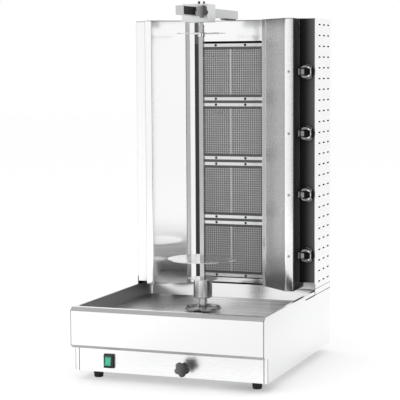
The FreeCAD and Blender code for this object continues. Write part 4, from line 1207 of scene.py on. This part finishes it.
class GRILL_OT_stage(GrillOperator, bpy.types.Operator):
    """Floor, lamps, world and camera"""
    bl_idname = "grill.stage"
    bl_label = "Stage"

    def lamp(self, name, place, size, power):
        rest()
        bpy.ops.object.light_add(type="AREA", location=place)
        lamp = bpy.context.object
        lamp.name = name
        lamp.data.shape = "RECTANGLE"
        lamp.data.size, lamp.data.size_y = size
        lamp.data.energy = power
        lamp.visible_glossy = False
        target = Vector((0, 0, 0.4))
        aim = target - Vector(place)
        lamp.rotation_euler = aim.to_track_quat("-Z", "Y").to_euler()

    def floor(self):
        rest()
        bpy.ops.mesh.primitive_plane_add(size=40)
        floor = named("studio_floor")
        finish = Finish("studio_floor", roughness=0.9, specular_ior_level=0.0)
        paper = finish.noise(8)
        finish.varied_colour(colours().floor, 0.995, paper)
        glow = finish.node("ShaderNodeEmission", None, {"Color": (1, 1, 1), "Strength": 1.0})
        seen = finish.node("ShaderNodeLightPath", out="Is Camera Ray")
        # Painted shadow: near the base's front right corner camera rays see less of the white glow, so the
        # floor's shadow shows deeper there.
        painted_shadow_corner = (0.25, -0.32, 0)
        away = finish.node("ShaderNodeVectorMath", {"operation": "DISTANCE"}, {
            0: finish.place, 1: painted_shadow_corner}, out="Value")
        near = finish.ramp(away, 0.16, 0.02)
        glow_share, painted_shadow_share = 0.5, 0.4
        mixed = finish.node("ShaderNodeMixShader", None, {
            0: seen * (glow_share - near * painted_shadow_share), 1: Value(finish, finish.shader.outputs[0]), 2: glow})
        finish.put(finish.tree.nodes["Material Output"], "Surface", mixed)
        floor.data.materials.append(finish.material)

    def card(self, name, corner, across, up, shade):
        """A grey card that only reflections see: a corner, two sides and how bright it is."""
        rest()
        bpy.ops.mesh.primitive_plane_add(size=1)
        card = named(name)
        for vertex in card.data.vertices:
            x, y = vertex.co.x + 0.5, vertex.co.y + 0.5
            vertex.co = Vector(corner) + Vector(across) * x + Vector(up) * y
        finish = Finish(name, roughness=1.0, specular_ior_level=0.0)
        finish.put(finish.shader, "Base Color", (0, 0, 0))
        finish.put(finish.shader, "Emission Color", (shade, shade, shade))
        finish.put(finish.shader, "Emission Strength", 1.0)
        card.data.materials.append(finish.material)
        for ray in ("camera", "diffuse", "transmission", "volume_scatter", "shadow"):
            setattr(card, "visible_" + ray, False)

    def world(self):
        world = bpy.data.worlds.new("studio")
        world.use_nodes = True
        bpy.context.scene.world = world
        soft = world.node_tree.nodes["Background"]
        soft.inputs["Color"].default_value = (1, 1, 1, 1)
        soft.inputs["Strength"].default_value = 1.0

    def camera(self):
        rest()
        bpy.ops.object.camera_add(location=sizes().camera_place)
        camera = bpy.context.object
        camera.name = "photo_camera"
        tilt, turn, roll = sizes().camera_turn
        aim = Euler((pi / 2 - tilt, 0, turn)).to_matrix() @ Matrix.Rotation(roll, 3, "Z")
        camera.rotation_euler = aim.to_euler()
        camera.data.lens = sizes().camera_lens
        camera.data.sensor_width = 36
        camera.data.clip_start = 0.1
        camera.data.clip_end = 60
        bpy.context.scene.camera = camera

    def build(self):
        self.floor()
        self.world()
        self.lamp("key_light", (-1.3, -3.3, 2.4), (3.0, 2.0), 26)
        self.lamp("top_light", (0.0, -0.3, 3.4), (3.0, 2.5), 18)
        for card in (
                ("ceiling_card", (-3, -3, 3.4), (6, 0, 0), (0, 6, 0), 0.42),
                ("front_ground_card", (-0.3, -2.6, 3 * mm), (1.3, 0, 0), (0, 2.1, 0), 0.93),
                ("camera_card", (0.85, -3.3, 0), (1.55, 0.4, 0), (0, 0, 2.6), 0.05),
                ("side_card", (2.5, -0.75, 0), (0, 1.8, 0), (0, 0, 2.2), 0.06),
                ("left_card", (-2.5, 0.2, 0), (0, 3.0, 0), (0, 0, 2.2), 0.06),
                ("right_ground_card", (0.8, -0.6, 3 * mm), (1.6, 0, 0), (0, 1.8, 0), 0.06),
                ("left_ground_card", (-2.4, 0.1, 3 * mm), (1.6, 0, 0), (0, 1.4, 0), 0.06),
                ("low_card", (1.5, -2.2, 0), (0, 3.0, 0), (0, 0, 0.056), 0.03),
                ("upper_low_card", (1.5, -2.2, 0.064), (0, 3.0, 0), (0, 0, 0.049), 0.04),
                ("recess_card", (-108.5 * mm, 202.6 * mm, 0.2), (20 * mm, 0, 0), (0, 0, 0.765), 0.95)):
            self.card(*card)
        self.camera()
        bpy.context.scene.view_settings.view_transform = "Standard"


class GRILL_PT_panel(bpy.types.Panel):
    """Lists the grill's pieces in the sidebar"""
    bl_label = "Gas Doner Kebab Grill"
    bl_idname = "GRILL_PT_panel"
    bl_space_type = "VIEW_3D"
    bl_region_type = "UI"
    bl_category = "Grill"

    def draw(self, context):
        for operator in operators:
            self.layout.operator(operator.bl_idname)
        for group in (context.scene.grill_sizes, context.scene.grill_colours):
            for name in group.bl_rna.properties.keys():
                if name not in ("name", "rna_type"):
                    self.layout.prop(group, name)


operators = (
    GRILL_OT_sheets,
    GRILL_OT_inner,
    GRILL_OT_screens,
    GRILL_OT_tiles,
    GRILL_OT_gas_knobs,
    GRILL_OT_star_knobs,
    GRILL_OT_switch,
    GRILL_OT_screws,
    GRILL_OT_spit,
    GRILL_OT_holder,
    GRILL_OT_feet,
    GRILL_OT_fittings,
    GRILL_OT_stage,
)
classes = (GrillSizes, GrillColours, *operators, GRILL_PT_panel)


def register():
    for item in classes:
        bpy.utils.register_class(item)
    bpy.types.Scene.grill_sizes = bpy.props.PointerProperty(type=GrillSizes)
    bpy.types.Scene.grill_colours = bpy.props.PointerProperty(type=GrillColours)


def unregister():
    del bpy.types.Scene.grill_sizes
    del bpy.types.Scene.grill_colours
    for item in reversed(classes):
        bpy.utils.unregister_class(item)


def main():
    register()
    make_finishes()
    for operator in operators:
        group, name = operator.bl_idname.split(".")
        getattr(getattr(bpy.ops, group), name)()
    rest()


if __name__ == "__main__":
    main()
